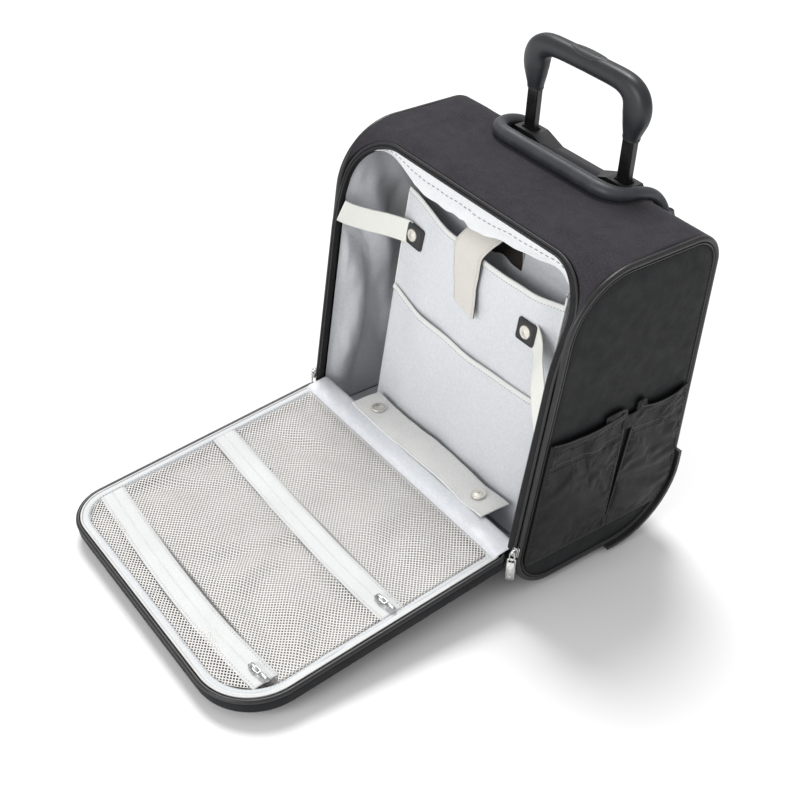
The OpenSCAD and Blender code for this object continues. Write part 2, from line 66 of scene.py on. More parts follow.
MM = 0.001
ORIGIN_Y = 42.6                  # the case frame sits this far behind the row frame
BASE, CASE_D, CASE_H = 10.0, 218.0, 353.0
HALF, WRAP, WALL = 180.0, 176.6, 6.0
LEAN = math.radians(6.2)
HINGE_Y, HINGE_Z, RIM_GAP = 3.0, 63.0, 2.0
RIM_HALF = 176.0
RIM_L = 308.0                    # crown of the arched front edge, up the face from the hinge
RIM_R = 58.0
BEND_U, BEND_R = 190.0, 235.0    # above BEND_U the open mouth rolls back at this radius
SIDE_TOP_Y = HINGE_Y + RIM_GAP + 3 + math.tan(LEAN) * (CASE_H - 53)
LID_HALF, LID_L, LID_T, LID_START = 172.0, 320.0, 19.0, 4.0
LID_R = (42.0, 64.0)             # far corners of the lid, left and right
DROOP = math.radians(6.5)
ORG_FOOT, ORG_HALF = (51.0, 25.0), 122.0
ORG_LEAN = math.radians(7.3)
POCKET_H, POCKET_T = 286.0, 20.0
BACK_SEAM_Y = CASE_D - 14
WHEEL_X, WHEEL_Y, WHEEL_Z, ARCH_R, ARCH_W = 140.0, 174.0, 32.0, 41.0, 38.0


# ---- Small geometry kit ----

def world(p):
    """Case-frame millimetres to row-frame metres."""
    p = np.asarray(p, float)
    return (p + np.array([0, ORIGIN_Y, 0])) * MM


def unit(v):
    v = np.asarray(v, float)
    return v / np.maximum(np.linalg.norm(v, axis=-1, keepdims=True), 1e-12)


def smooth01(t):
    t = np.clip(t, 0, 1)
    return t * t * (3 - 2 * t)


def rounded(corners, n=12):
    """Closed outline with rounded corners; each corner is (x, y, radius)."""
    out, count = [], len(corners)
    for i, (px, py, r) in enumerate(corners):
        p = np.array([px, py])
        u = unit(np.array(corners[i - 1][:2]) - p)
        v = unit(np.array(corners[(i + 1) % count][:2]) - p)
        half = math.acos(float(np.clip(u @ v, -1, 1))) / 2
        c = p + unit(u + v) * r / math.sin(half)
        s, e = p + u * r / math.tan(half) - c, p + v * r / math.tan(half) - c
        turn = (math.pi - 2 * half) * (1 if s[0] * e[1] - s[1] * e[0] > 0 else -1)
        for k in range(n + 1):
            a = turn * k / n
            out.append(c + [s[0] * math.cos(a) - s[1] * math.sin(a), s[0] * math.sin(a) + s[1] * math.cos(a)])
    return np.array(out)


def resample(path, n, closed=True):
    """n points evenly spaced along a path of any dimension."""
    p = np.asarray(path, float)
    if closed:
        p = np.vstack([p, p[:1]])
    d = np.r_[0, np.cumsum(np.linalg.norm(np.diff(p, axis=0), axis=1))]
    keep = np.r_[True, np.diff(d) > 1e-9]
    p, d = p[keep], d[keep]
    t = np.linspace(0, d[-1], n, endpoint=not closed)
    return np.column_stack([np.interp(t, d, p[:, k]) for k in range(p.shape[1])])


def inward_steps(n):
    """Shares that shrink an outline to its middle in n rings, the last of them nearly a point."""
    return np.r_[np.linspace(1, 0.02, n - 2), 0.008, 0.0015]


def spline(points, n):
    """Smooth Catmull-Rom curve through the points, n points evenly spaced."""
    p = np.asarray(points, float)
    ext = np.vstack([2 * p[0] - p[1], p, 2 * p[-1] - p[-2]])
    out = []
    for i in range(1, len(ext) - 2):
        for t in np.linspace(0, 1, 16, endpoint=False):
            a, b, c, d = ext[i - 1], ext[i], ext[i + 1], ext[i + 2]
            out.append(0.5 * (2 * b + (c - a) * t + (2 * a - 5 * b + 4 * c - d) * t * t
                              + (3 * b - a - 3 * c + d) * t ** 3))
    out.append(p[-1])
    return resample(out, n, closed=False)


def side_outline(g, n=12):
    """Side profile in (y, z), pulled in by g."""
    z0, z1, gs, lean = BASE + g, BASE + CASE_H - g, g / math.cos(LEAN), math.tan(LEAN)
    low = SIDE_TOP_Y - lean * CASE_H + lean * g + gs
    high = SIDE_TOP_Y - lean * g + gs
    return rounded([(low, z0, 46 - g), (CASE_D - g, z0, 76 - g), (CASE_D - g, z1, 33 - g), (high, z1, 70 - g)], n)


def rim_outline(g, low=4.0, n=12):
    """Arched front edge in (x, distance up the face)."""
    return rounded([(-RIM_HALF + g, low, 4), (RIM_HALF - g, low, 4),
                    (RIM_HALF - g, RIM_L - g, RIM_R - g), (-RIM_HALF + g, RIM_L - g, RIM_R - g)], n)


def on_face(x, u, w=0.0):
    """Point of the leaning front face: x across, u up, w out to the front. It rolls back near the top."""
    x, u, w = np.broadcast_arrays(x, u, w)
    tilt = LEAN + np.clip((u - BEND_U) / BEND_R, 0, None)
    flat = np.minimum(u, BEND_U)
    return np.stack([x, HINGE_Y + RIM_GAP + flat * math.sin(LEAN)
                     + BEND_R * (math.cos(LEAN) - np.cos(tilt)) - w * np.cos(tilt),
                     HINGE_Z + flat * math.cos(LEAN) + BEND_R * (np.sin(tilt) - math.sin(LEAN)) + w * np.sin(tilt)], -1)


FACE_OUT = np.array([0, -math.cos(LEAN), math.sin(LEAN)])


def on_lid(x, s, t=0.0):
    """Point of the open lid: x across, s away from the hinge, t up out of the tray."""
    x, s, t = np.broadcast_arrays(x, s, t)
    return np.stack([x, HINGE_Y - s * math.cos(DROOP) - t * math.sin(DROOP),
                     HINGE_Z - s * math.sin(DROOP) + t * math.cos(DROOP)], -1)


LID_UP = np.array([0, -math.sin(DROOP), math.cos(DROOP)])


def lid_outline(g, low=LID_START, n=12):
    near_r = 6 - g / 8
    return rounded([(-LID_HALF + g, low + g, near_r), (LID_HALF - g, low + g, near_r),
                    (LID_HALF - g, LID_L - g, LID_R[1] - g), (-LID_HALF + g, LID_L - g, LID_R[0] - g)], n)


def on_org(x, y, z):
    """Point of the leaning organizer: y to the back, z up its face."""
    x, y, z = np.broadcast_arrays(x, y, z)
    return np.stack([x, ORG_FOOT[0] + y * math.cos(ORG_LEAN) + z * math.sin(ORG_LEAN),
                     ORG_FOOT[1] - y * math.sin(ORG_LEAN) + z * math.cos(ORG_LEAN)], -1)


ORG_OUT = np.array([0, -math.cos(ORG_LEAN), math.sin(ORG_LEAN)])


def rumple(p, size, amount, seed=0.0, stretch=(1, 1, 1)):
    """Smooth seeded unevenness, one number for each point; size is the width of a fold in mm."""
    p = np.asarray(p, float) / (size * np.asarray(stretch, float))
    flat = p.reshape(-1, 3)
    v = np.array([noise.noise(Vector((a + seed, b - seed, c + 2 * seed))) for a, b, c in flat])
    return v.reshape(p.shape[:-1]) * amount


def grid_faces(nu, nv, closed_u=False, closed_v=False):
    i = np.arange(nu if closed_u else nu - 1)[:, None]
    j = np.arange(nv if closed_v else nv - 1)[None, :]
    a = i * nv + j
    b = ((i + 1) % nu) * nv + j
    c = ((i + 1) % nu) * nv + (j + 1) % nv
    d = i * nv + (j + 1) % nv
    return np.stack([a, b, c, d], -1).reshape(-1, 4)


def mesh_piece(name, verts, faces, mat, body, slot, stands_for=(), mods=()):
    """Makes one piece from case-frame vertices. mods are ("solid", mm, offset) or ("sub", levels)."""
    me = bpy.data.meshes.new(name)
    me.from_pydata(world(verts).tolist(), [], [list(map(int, f)) for f in faces])
    me.validate()
    me.update()
    for p in me.polygons:
        p.use_smooth = True
    ob = bpy.data.objects.new(name, me)
    bpy.context.scene.collection.objects.link(ob)
    me.materials.append(mat)
    for m in mods:
        if m[0] == "solid":
            mod = ob.modifiers.new("solid", "SOLIDIFY")
            mod.thickness, mod.offset = m[1] * MM, m[2]
        elif m[0] == "sub":
            mod = ob.modifiers.new("sub", "SUBSURF")
            mod.levels = mod.render_levels = m[1]
    if stands_for:
        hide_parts(*stands_for)
    if body:
        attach(ob, body)
    return ob


def grid_piece(name, p, mat, body, slot, stands_for=(), closed_u=False, closed_v=False, mods=(), flip=False):
    nu, nv = p.shape[:2]
    f = grid_faces(nu, nv, closed_u, closed_v)
    return mesh_piece(name, p.reshape(-1, 3), f[:, ::-1] if flip else f, mat, body, slot, stands_for, mods=mods)


def capped(rings, both=True):
    """Skin over equal closed rings, shut at the last ring and, unless both is false, at the first one too."""
    k, n = rings.shape[:2]
    ends = [list(range(n))[::-1]] * both + [list(range((k - 1) * n, k * n))]
    return rings.reshape(-1, 3), [list(f) for f in grid_faces(k, n, False, True)] + ends


def padded_piece(name, p, mat, body, slot, node, fill, **more):
    grid_piece(name, p, mat, body, slot, [node], **more)


def tangents(path, closed):
    if closed:
        return unit(np.roll(path, -1, 0) - np.roll(path, 1, 0))
    return unit(np.gradient(path, axis=0))


def sweep(path, section, normal, closed=True, scale=None):
    """Vertices and faces of a closed section carried along a path. The section is (across, along normal)."""
    path = np.asarray(path, float)
    n = np.broadcast_to(np.asarray(normal, float), path.shape)
    t = tangents(path, closed)
    side = unit(np.cross(t, n))
    n = unit(np.cross(side, t))
    s = np.ones(len(path)) if scale is None else np.asarray(scale, float)
    sec = np.asarray(section, float)
    p = path[:, None] + s[:, None, None] * (sec[None, :, :1] * side[:, None] + sec[None, :, 1:] * n[:, None])
    if not closed:
        return capped(p)
    return p.reshape(-1, 3), [list(f) for f in grid_faces(len(path), len(sec), True, True)]


def ring(rx, ry=None, n=12, power=1.0):
    a = np.linspace(0, 2 * math.pi, n, endpoint=False)
    c, s = np.cos(a), np.sin(a)
    return np.column_stack([np.sign(c) * np.abs(c) ** power * rx, np.sign(s) * np.abs(s) ** power * (ry or rx)])


def flat_section(w, t, n=5):
    """Section of a flat tape w wide and t thick with softened edges."""
    x = np.linspace(-w / 2, w / 2, n)
    top = [(a, t / 2 if 0 < i < n - 1 else t / 6) for i, a in enumerate(x)]
    return np.array(top + [(a, -b) for a, b in reversed(top)])


def join(parts):
    """Several (verts, faces) as one."""
    verts, faces, n = [], [], 0
    for v, f in parts:
        verts.append(v)
        faces += [[i + n for i in q] for q in f]
        n += len(v)
    return np.vstack(verts), faces


def stitch_row(path, normal, closed=True, pitch=4.2, length=2.7, r=0.38, lift=0.1):
    """A row of thread stitches lying along a path."""
    path = np.asarray(path, float)
    loop = np.vstack([path, path[:1]]) if closed else path
    total = np.linalg.norm(np.diff(loop, axis=0), axis=1).sum()
    count = max(2, int(total / pitch))
    mid = resample(path, count, closed)
    t = tangents(mid, closed)
    normal = np.asarray(normal, float)
    if normal.ndim == 2:
        normal = normal[np.linspace(0, len(normal) - 1, count).astype(int)]
    n = unit(np.broadcast_to(normal, mid.shape))
    side = unit(np.cross(t, n))
    a = np.linspace(0, 2 * math.pi, 6, endpoint=False)
    rings = []
    for k, (u, q) in enumerate(((-0.5, 0.3), (-0.3, 1), (0.3, 1), (0.5, 0.3))):
        drop = -0.5 * r if k in (0, 3) else 0
        centre = mid + t * u * length + n * (lift + drop)
        rings.append(centre[:, None] + r * q * (np.cos(a)[None, :, None] * side[:, None] + np.sin(a)[None, :,
                None] * n[:, None]))
    v = np.stack(rings, 1)
    base = grid_faces(4, 6, False, True)
    faces = (base[None] + (np.arange(count) * 24)[:, None, None]).reshape(-1, 4)
    return v.reshape(-1, 3), [list(f) for f in faces]


# ---- Materials ----

def srgb(h):
    c = [int(h[i:i + 2], 16) / 255 for i in (1, 3, 5)]
    return tuple(x / 12.92 if x <= 0.04045 else ((x + 0.055) / 1.055) ** 2.4 for x in c) + (1,)


class Shader:
    """Builds one Principled material from small steps."""

    def __init__(self, name, **inputs):
        self.mat = bpy.data.materials.new(name)
        self.mat.use_nodes = True
        self.nt = self.mat.node_tree
        self.bsdf = self.nt.nodes["Principled BSDF"]
        for k, v in inputs.items():
            self.bsdf.inputs[k.replace("_", " ")].default_value = v
        self.coord = self.nt.nodes.new("ShaderNodeTexCoord").outputs["Object"]
        self.normal = None

    def node(self, kind, **values):
        n = self.nt.nodes.new("ShaderNode" + kind)
        for k, v in values.items():
            if k in n.inputs:
                n.inputs[k].default_value = v
            else:
                setattr(n, k, v)
        return n

    def link(self, a, b):
        self.nt.links.new(a, b)

    def math(self, op, a, b=None, c=None):
        n = self.node("Math", operation=op)
        for i, v in enumerate((a, b, c)):
            if v is None:
                continue
            if isinstance(v, (int, float)):
                n.inputs[i].default_value = v
            else:
                self.link(v, n.inputs[i])
        return n.outputs[0]

    def noise(self, size_mm, detail=2.0, rough=0.5, stretch=None):
        n = self.node("TexNoise", Scale=1 / (size_mm * MM), Detail=detail, Roughness=rough)
        if stretch is None:
            self.link(self.coord, n.inputs["Vector"])
        else:
            m = self.node("Mapping")
            m.inputs["Scale"].default_value = stretch
            self.link(self.coord, m.inputs["Vector"])
            self.link(m.outputs[0], n.inputs["Vector"])
        return n.outputs["Fac"]

    def wave(self, pitch_mm, direction):
        n = self.node("TexWave", wave_type="BANDS", bands_direction=direction, Distortion=0.0,
                      Scale=2 * math.pi / (20 * pitch_mm * MM))
        self.link(self.coord, n.inputs["Vector"])
        return n.outputs["Fac"]

    def weave(self, pitch_mm):
        """Thread lattice that shows on any face: three crossing bands added up."""
        x, y, z = (self.wave(pitch_mm, d) for d in "XYZ")
        return self.math("MULTIPLY", self.math("ADD", self.math("ADD", x, y), z), 0.34)

    def bump(self, height, distance_mm, strength=1.0):
        n = self.node("Bump", Strength=strength, Distance=distance_mm * MM)
        self.link(height, n.inputs["Height"])
        if self.normal is not None:
            self.link(self.normal, n.inputs["Normal"])
        self.normal = n.outputs[0]
        self.link(self.normal, self.bsdf.inputs["Normal"])
        return self

    def colours(self, fac, low, high, lo=0.3, hi=0.7):
        """Base colour that runs from low to high as fac runs from lo to hi."""
        r = self.node("MapRange")
        r.inputs["From Min"].default_value, r.inputs["From Max"].default_value = lo, hi
        self.link(fac, r.inputs["Value"])
        m = self.node("Mix", data_type="RGBA")
        m.inputs[6].default_value, m.inputs[7].default_value = low, high
        self.link(r.outputs[0], m.inputs[0])
        self.link(m.outputs[2], self.bsdf.inputs["Base Color"])
        return self

    def roughness(self, fac, low, high):
        r = self.node("MapRange")
        r.inputs["From Min"].default_value, r.inputs["From Max"].default_value = 0.3, 0.7
        r.inputs["To Min"].default_value, r.inputs["To Max"].default_value = low, high
        self.link(fac, r.inputs["Value"])
        self.link(r.outputs[0], self.bsdf.inputs["Roughness"])
        return self


def fabric(name, low, high, rough=0.75, sheen=0.04, weave=0.55, weave_bump=0.05, heather=0.9, slub=(1, 1, 1),
           specular=0.25, cloudy=0.25):
    s = Shader(name, Sheen_Weight=sheen, Specular_IOR_Level=specular)
    s.bsdf.inputs["Sheen Roughness"].default_value = 0.4
    mix = s.math("ADD", s.math("MULTIPLY", s.noise(heather, 3, 0.6, slub), 1 - cloudy),
                 s.math("MULTIPLY", s.noise(60, 2), cloudy))
    s.colours(mix, srgb(low), srgb(high), 0.36, 0.64)
    s.roughness(s.noise(14, 3), rough - 0.07, rough + 0.07)
    s.bump(s.weave(weave), weave_bump)
    s.bump(s.noise(5, 3), 0.12)
    return s.mat


def plastic(name, low, high, rough=0.45, grain=0.35, grain_bump=0.02, coat=0.0):
    s = Shader(name, Coat_Weight=coat, Coat_Roughness=0.25)
    s.colours(s.noise(18, 4, 0.6), srgb(low), srgb(high))
    s.roughness(s.noise(9, 4), rough - 0.05, rough + 0.07)
    s.bump(s.noise(grain, 2), grain_bump)
    return s.mat


def metal(name, low, high, rough=0.28, brushed=None):
    s = Shader(name, Metallic=1.0)
    s.colours(s.noise(4, 4, 0.6), srgb(low), srgb(high))
    s.roughness(s.noise(2.5, 3, 0.6, brushed), rough - 0.06, rough + 0.1)
    s.bump(s.noise(0.5, 2, 0.5, brushed), 0.01)
    return s.mat


CHARCOAL = fabric("charcoal_twill", "#222024", "#37343a", rough=0.85, sheen=0.06, weave=0.6, weave_bump=0.08,
                  heather=1.3)
BLACK = fabric("black_smooth_cloth", "#151618", "#1d1e20", rough=0.6, sheen=0.0, weave=0.5, weave_bump=0.03,
               heather=1.6, specular=0.2, cloudy=0.0)
POUCH = fabric("black_pouch_cloth", "#141416", "#1d1d1f", rough=0.55, sheen=0.0, weave=0.5, weave_bump=0.03,
               heather=1.6, cloudy=0.15)
PIPING = plastic("black_welt", "#141415", "#202022", rough=0.4, grain=0.8, grain_bump=0.05)
ZIP_BLACK = fabric("black_zip_tape", "#161618", "#29292b", rough=0.8, sheen=0.05, weave=0.9, weave_bump=0.14,
                   heather=0.8)
COIL_BLACK = plastic("black_coil", "#121213", "#1d1d1f", rough=0.35)
SATIN = fabric("silver_satin", "#cdd0d4", "#d7d9dd", rough=0.4, sheen=0.05, weave=0.45, weave_bump=0.015, heather=3.0,
               specular=0.55, cloudy=0.1)
# Painted shade: the silver lining darkened to stand for the shade deep in the rear and roof of the interior; it colours
# the lining's roof and the rear board.
PAINTED_SHADE_LINING = fabric("rear_lining_painted_shade", "#35332f", "#46433f", rough=0.6, sheen=0.03, weave=0.5, weave_bump=0.03,
                     heather=2.0)
FACING = fabric("white_facing", "#dadcde", "#e4e6e7", rough=0.6, weave=0.5, weave_bump=0.03, heather=2.0)
BINDING = fabric("white_binding", "#d9dad9", "#e6e7e4", rough=0.7, weave=0.7, weave_bump=0.08)
FLAP = fabric("grey_flap", "#d9d9d7", "#e3e3e0", rough=0.5, weave=0.5, weave_bump=0.03, heather=2.5, specular=0.4)
FELT = fabric("felt_strap", "#c9c5bf", "#dcd8d2", rough=0.92, sheen=0.15, weave=0.8, weave_bump=0.06, heather=0.7)
# Painted shade: the strap's felt darkened for the shaded underside of the arched closure strap.
FELT_UNDERSIDE_SHADE = fabric("felt_underside_painted_shade", "#2b2724", "#3d3833", rough=0.9, sheen=0.05, weave=0.7, weave_bump=0.08,
                   heather=0.8)
TAPE_WHITE = fabric("heather_zip_tape", "#c4c6c6", "#d8d9d9", rough=0.75, weave=0.9, weave_bump=0.1, heather=0.8)
COIL_WHITE = plastic("white_coil", "#c3c4c4", "#d4d4d2", rough=0.4)
LID_BINDING = fabric("lid_binding", "#bfc3c6", "#cdd0d2", rough=0.6, weave=0.5, weave_bump=0.04, heather=1.4)
NET = fabric("net_yarn", "#cfccc9", "#e0dedb", rough=0.6, weave=0.5, weave_bump=0.03)
WEBBING = fabric("cream_webbing", "#dcddd7", "#ecece6", rough=0.65, weave=0.9, weave_bump=0.05)
THREAD_WHITE = fabric("white_thread", "#c3c5c7", "#dcdcdc", rough=0.6)
THREAD_GREY = fabric("grey_thread", "#7f8187", "#9a9ca1", rough=0.6)
THREAD_BLACK = fabric("black_thread", "#101011", "#1c1c1e", rough=0.6)
LEATHER = plastic("black_tab_leather", "#141416", "#222225", rough=0.45, grain=1.1, grain_bump=0.12, coat=0.1)
GRIP = plastic("satin_grip_plastic", "#1b1d20", "#232529", rough=0.42, grain=0.5, grain_bump=0.015, coat=0.04)
BAIL = plastic("satin_handle_plastic", "#2f3136", "#3a3c41", rough=0.46, grain=0.5, grain_bump=0.02, coat=0.02)
HARD_BLACK = plastic("black_moulded_plastic", "#19191a", "#242527", rough=0.5, grain=0.7, grain_bump=0.05)
TUBE_BLACK = plastic("black_anodised_tube", "#0b0b0c", "#141415", rough=0.3, grain=0.4, grain_bump=0.01, coat=0.2)
ALLOY = metal("alloy_tube_metal", "#9c9ea2", "#b9bbbe", rough=0.35, brushed=(1, 1, 0.06))
SCREW = metal("dark_screw", "#66676a", "#7f8084", rough=0.36)
STEEL = metal("bright_steel", "#b4b4b2", "#d0d0ce", rough=0.25)
NICKEL = metal("nickel_slider", "#d4d4d2", "#ececea", rough=0.32)
SNAP = metal("champagne_snap", "#d6d2ca", "#e8e4dc", rough=0.46)
RUBBER = plastic("foot_rubber_black", "#121213", "#1e1e20", rough=0.75, grain=0.9, grain_bump=0.08)
TYRE = plastic("tyre_rubber", "#161617", "#242426", rough=0.62, grain=1.0, grain_bump=0.06)
HUB = plastic("hub_plastic", "#333438", "#46474b", rough=0.45)
HOUSING = plastic("housing_plastic", "#211f1e", "#2c2a29", rough=0.5, grain=0.8, grain_bump=0.04)
BUTTON = plastic("button_plastic", "#2e3032", "#3c3e40", rough=0.5, grain=0.6, grain_bump=0.04)
# Painted shade: the lid's silver satin lining darkened for the shade it lies in under the net.
LID_FLOOR_PAINTED_SHADE = fabric("lid_floor_satin_painted_shade", "#8b8986", "#a3a19e", rough=0.45, sheen=0.03, weave=0.45, weave_bump=0.015,
                   heather=3.0, specular=0.4, cloudy=0.1)


# ---- Camera, floor and lights ----

CAMERA_PLACE, CAMERA_LENS = (0.8165, -0.6099, 0.9459), 57.7
CAMERA_AXES = ((0.5942, -0.5088, 0.6230), (0.8033, 0.3374, -0.4907), (0.0394, 0.7921, 0.6092))
FLOOR_HALF = 6


def make_camera():
    cam = bpy.data.objects.new("camera", bpy.data.cameras.new("camera"))
    bpy.context.scene.collection.objects.link(cam)
    cam.matrix_world = Matrix.Translation(CAMERA_PLACE) @ Matrix(CAMERA_AXES).to_4x4()
    cam.data.lens, cam.data.sensor_width = CAMERA_LENS, 36
    cam.data.clip_end = 50
    bpy.context.scene.camera = cam


def make_stage():
    me = bpy.data.meshes.new("floor")
    corners = [(-1, -1), (1, -1), (1, 1), (-1, 1)]
    me.from_pydata([(x * FLOOR_HALF, y * FLOOR_HALF, 0) for x, y in corners], [], [(0, 1, 2, 3)])
    floor = bpy.data.objects.new("floor", me)
    bpy.context.scene.collection.objects.link(floor)
    s = Shader("pale_floor", Roughness=0.9)
    s.bsdf.inputs["Specular IOR Level"].default_value = 0.1
    s.colours(s.noise(900, 1), (0.86, 0.86, 0.86, 1), (0.88, 0.88, 0.88, 1))
    me.materials.append(s.mat)


def lamp(name, kind, place, aim, energy, size=1.0, angle=0.0):
    data = bpy.data.lights.new(name, kind)
    data.energy = energy
    if kind == "AREA":
        data.shape, data.size = "DISK", size
    else:
        data.angle = math.radians(angle)
    ob = bpy.data.objects.new(name, data)
    ob.location = place
    ob.rotation_euler = (Vector(aim) - Vector(place)).to_track_quat("-Z", "Y").to_euler()
    bpy.context.scene.collection.objects.link(ob)


make_camera()
make_stage()
lamp("key", "SUN", (-1.05, 0.5, 2.2), (0, 0, 0.1), energy=2.35, angle=24)
lamp("fill", "AREA", (0.2, -2.6, 1.3), (0, 0, 0.2), energy=34, size=1.6)
studio = bpy.context.scene.world = bpy.data.worlds.new("studio")
studio.use_nodes = True
sky = studio.node_tree.nodes["Background"].inputs
sky["Color"].default_value, sky["Strength"].default_value = (1, 1, 1, 1), 0.62
bpy.context.scene.view_settings.view_transform = "Standard"


# ---- Case body: outer skins ----

def body_surface(g):
    """The wrapped body as a ray-cast target: hull of the side outlines and the arched front edge."""
    bm = bmesh.new()
    for x in (-WRAP, WRAP):
        for y, z in side_outline(g, 24):
            bm.verts.new((x, y, z))
    for x, u in rim_outline(g, 4 + g, 32):
        bm.verts.new(on_face(x, u, -g).tolist())
    bmesh.ops.convex_hull(bm, input=bm.verts)
    return BVHTree.FromBMesh(bm)


AXIS = (110.0, 215.0)            # the rays that trace a section start here, in y and z


def section(tree, x, a0, a1, n):
    """n points of the body's section at x, from angle a0 to a1 about AXIS."""
    out = []
    for a in np.linspace(a0, a1, n):
        hit = tree.ray_cast(Vector((x, *AXIS)), Vector((0, math.cos(a), math.sin(a))))[0]
        out.append(hit if hit is not None else Vector((x, *AXIS)))
    return np.array(out)


def arch_u(x):
    """Height of the arched front edge above the hinge, up the face, at x."""
    over = np.maximum(np.abs(x) - (RIM_HALF - RIM_R), 0)
    return RIM_L - RIM_R + np.sqrt(np.maximum(RIM_R ** 2 - over ** 2, 0))


def columns():
    """Places across for the top panel: even on the flat, by angle round the arch's corners."""
    flat = np.linspace(-(RIM_HALF - RIM_R), RIM_HALF - RIM_R, 25)
    b = np.linspace(0, math.pi / 2, 15)[1:]
    right = RIM_HALF - RIM_R + RIM_R * np.sin(b)
    right[-1] -= 0.05
    return np.r_[-WRAP + 0.02, -right[::-1], flat, right, WRAP - 0.02]


def normals_of(p):
    """Unit normals of a grid of points."""
    du, dv = np.gradient(p, axis=0), np.gradient(p, axis=1)
    return unit(np.cross(du, dv))


def edge_fade(nu, nv, u_mm, v_mm, reach):
    """1 inside a panel, falling to 0 within reach mm of its edges."""
    u = np.minimum(np.arange(nu), np.arange(nu)[::-1]) * u_mm / max(nu - 1, 1)
    v = np.minimum(np.arange(nv), np.arange(nv)[::-1]) * v_mm / max(nv - 1, 1)
    return smooth01(u / reach)[:, None] * smooth01(v / reach)[None, :]


outer = body_surface(0)


def make_top_panel():
    xs = columns()
    seam = section(outer, 0, math.radians(50), math.radians(50), 1)[0]
    end = math.atan2(seam[2] - AXIS[1], seam[1] - AXIS[0])
    rows = []
    for x in xs:
        y, z = on_face(x, arch_u(min(abs(x), RIM_HALF - 0.05)))[1:]
        start = math.atan2(z - AXIS[1], y - AXIS[0])
        rows.append(section(outer, x, start - 0.004, end, 44))
    p = np.array(rows)
    fade = edge_fade(p.shape[0], p.shape[1], 420, 200, 30)
    n = normals_of(p)
    n *= np.sign((n * (p - np.array([0, *AXIS]))).sum(-1, keepdims=True))
    p = p + n * (fade * (2.4 + rumple(p, 55, 1.6, 3.1) + rumple(p, 22, 0.5, 7.7)))[..., None]
    padded_piece("top_panel_cloth", p, CHARCOAL, "case", "charcoal_fabric", "top_panel", 0.9,
                 mods=[("solid", 4.0, -1), ("sub", 1)])


def profile_arc(y0, z0, y1, z1, n):
    """Stretch of the side outline from the point nearest (y0, z0) to that nearest (y1, z1), going down the back."""
    loop = resample(side_outline(0.0, 24), 1200)[::-1]
    a = np.argmin(((loop - [y0, z0]) ** 2).sum(1))
    b = np.argmin(((loop - [y1, z1]) ** 2).sum(1))
    idx = np.arange(a, b + 1) if b >= a else np.r_[np.arange(a, len(loop)), np.arange(0, b + 1)]
    return resample(loop[idx], n, closed=False)


make_top_panel()


# ---- Cloth helpers ----


def cloth(name, p, mat, body, slot, stands_for=(), thick=0.9, sub=1, flip=False,
          closed=False, cut=None):
    """A sheet of cloth from a grid of points. The cut argument is not used."""
    ob = grid_piece(name, p, mat, body, slot, stands_for, closed_v=closed, mods=[("solid", thick, 0), ("sub", sub)],
                    flip=flip)
    return ob


def laid_out(p, fullness=0.0):
    """Width, length and area in metres of a grid laid out flat, each way larger by the share of fullness."""
    w = np.linalg.norm(np.diff(p, axis=1), axis=2).sum(1).mean() * MM
    l = np.linalg.norm(np.diff(p, axis=0), axis=2).sum(0).mean() * MM
    corner = [p[:-1, :-1], p[:-1, 1:], p[1:, 1:], p[1:, :-1]]
    halves = [np.cross(corner[k + 1] - corner[0], corner[k + 2] - corner[0]) for k in (0, 1)]
    area = sum(np.linalg.norm(h, axis=2).sum() / 2 for h in halves) * MM ** 2
    k = 1 + fullness
    return w * k, l * k, area * k * k


def outline_cut(ring_2d, p):
    """Cut of a cloth gathered inside a flat outline: the outline's box, larger by the share that its folds take up."""
    x, y = ring_2d.T
    flat = abs(np.dot(x, np.roll(y, 1)) - np.dot(y, np.roll(x, 1))) / 2
    area = laid_out(np.concatenate([p, p[:, :1]], 1))[2]
    k = math.sqrt(area / MM ** 2 / flat) * MM
    return np.ptp(x) * k, np.ptp(y) * k, area


def settled(p, pinned, slack, pressure, flip, frames=22):
    """Cloth simulation of a grid of points held where pinned: it swells by the slack share; returns the new grid."""
    scene = bpy.context.scene
    faces = grid_faces(*p.shape[:2])
    me = bpy.data.meshes.new("settling")
    me.from_pydata(world(p.reshape(-1, 3)).tolist(), [], (faces[:, ::-1] if flip else faces).tolist())
    ob = bpy.data.objects.new("settling", me)
    scene.collection.objects.link(ob)
    group = ob.vertex_groups.new(name="pin")
    group.add([int(i) for i in np.flatnonzero(pinned)], 1.0, "REPLACE")
    mod = ob.modifiers.new("cloth", "CLOTH")
    mod.point_cache.frame_start, mod.point_cache.frame_end = 1, frames
    mod.collision_settings.use_collision = False
    st = mod.settings
    st.quality, st.mass, st.vertex_group_mass = 6, 0.15, "pin"
    st.tension_stiffness, st.compression_stiffness, st.shear_stiffness, st.bending_stiffness = 20, 20, 8, 0.3
    st.shrink_min = -slack
    st.use_pressure, st.uniform_pressure_force = True, pressure
    st.effector_weights.gravity = 0
    for f in range(1, frames + 1):
        scene.frame_set(f)
    out = ob.evaluated_get(bpy.context.evaluated_depsgraph_get()).to_mesh()
    v = np.empty(len(out.vertices) * 3)
    out.vertices.foreach_get("co", v)
    bpy.data.objects.remove(ob)
    bpy.data.meshes.remove(me)
    scene.frame_set(1)
    return (v.reshape(-1, 3) / MM - [0, ORIGIN_Y, 0]).reshape(p.shape)


def tape(name, path, normal, width, thick, mat, body, slot, closed=False, stands_for=()):
    """A flat tape carried along a path."""
    v, f = sweep(path, flat_section(width, thick, 7), normal, closed)
    ob = mesh_piece(name, v, f, mat, body, slot, stands_for)


def tube(name, path, radius, mat, body, slot, normal=(0, 0, 1), closed=True, stands_for=(), n=12, scale=None):
    v, f = sweep(path, ring(radius, n=n), normal, closed, scale)
    return mesh_piece(name, v, f, mat, body, slot, stands_for)


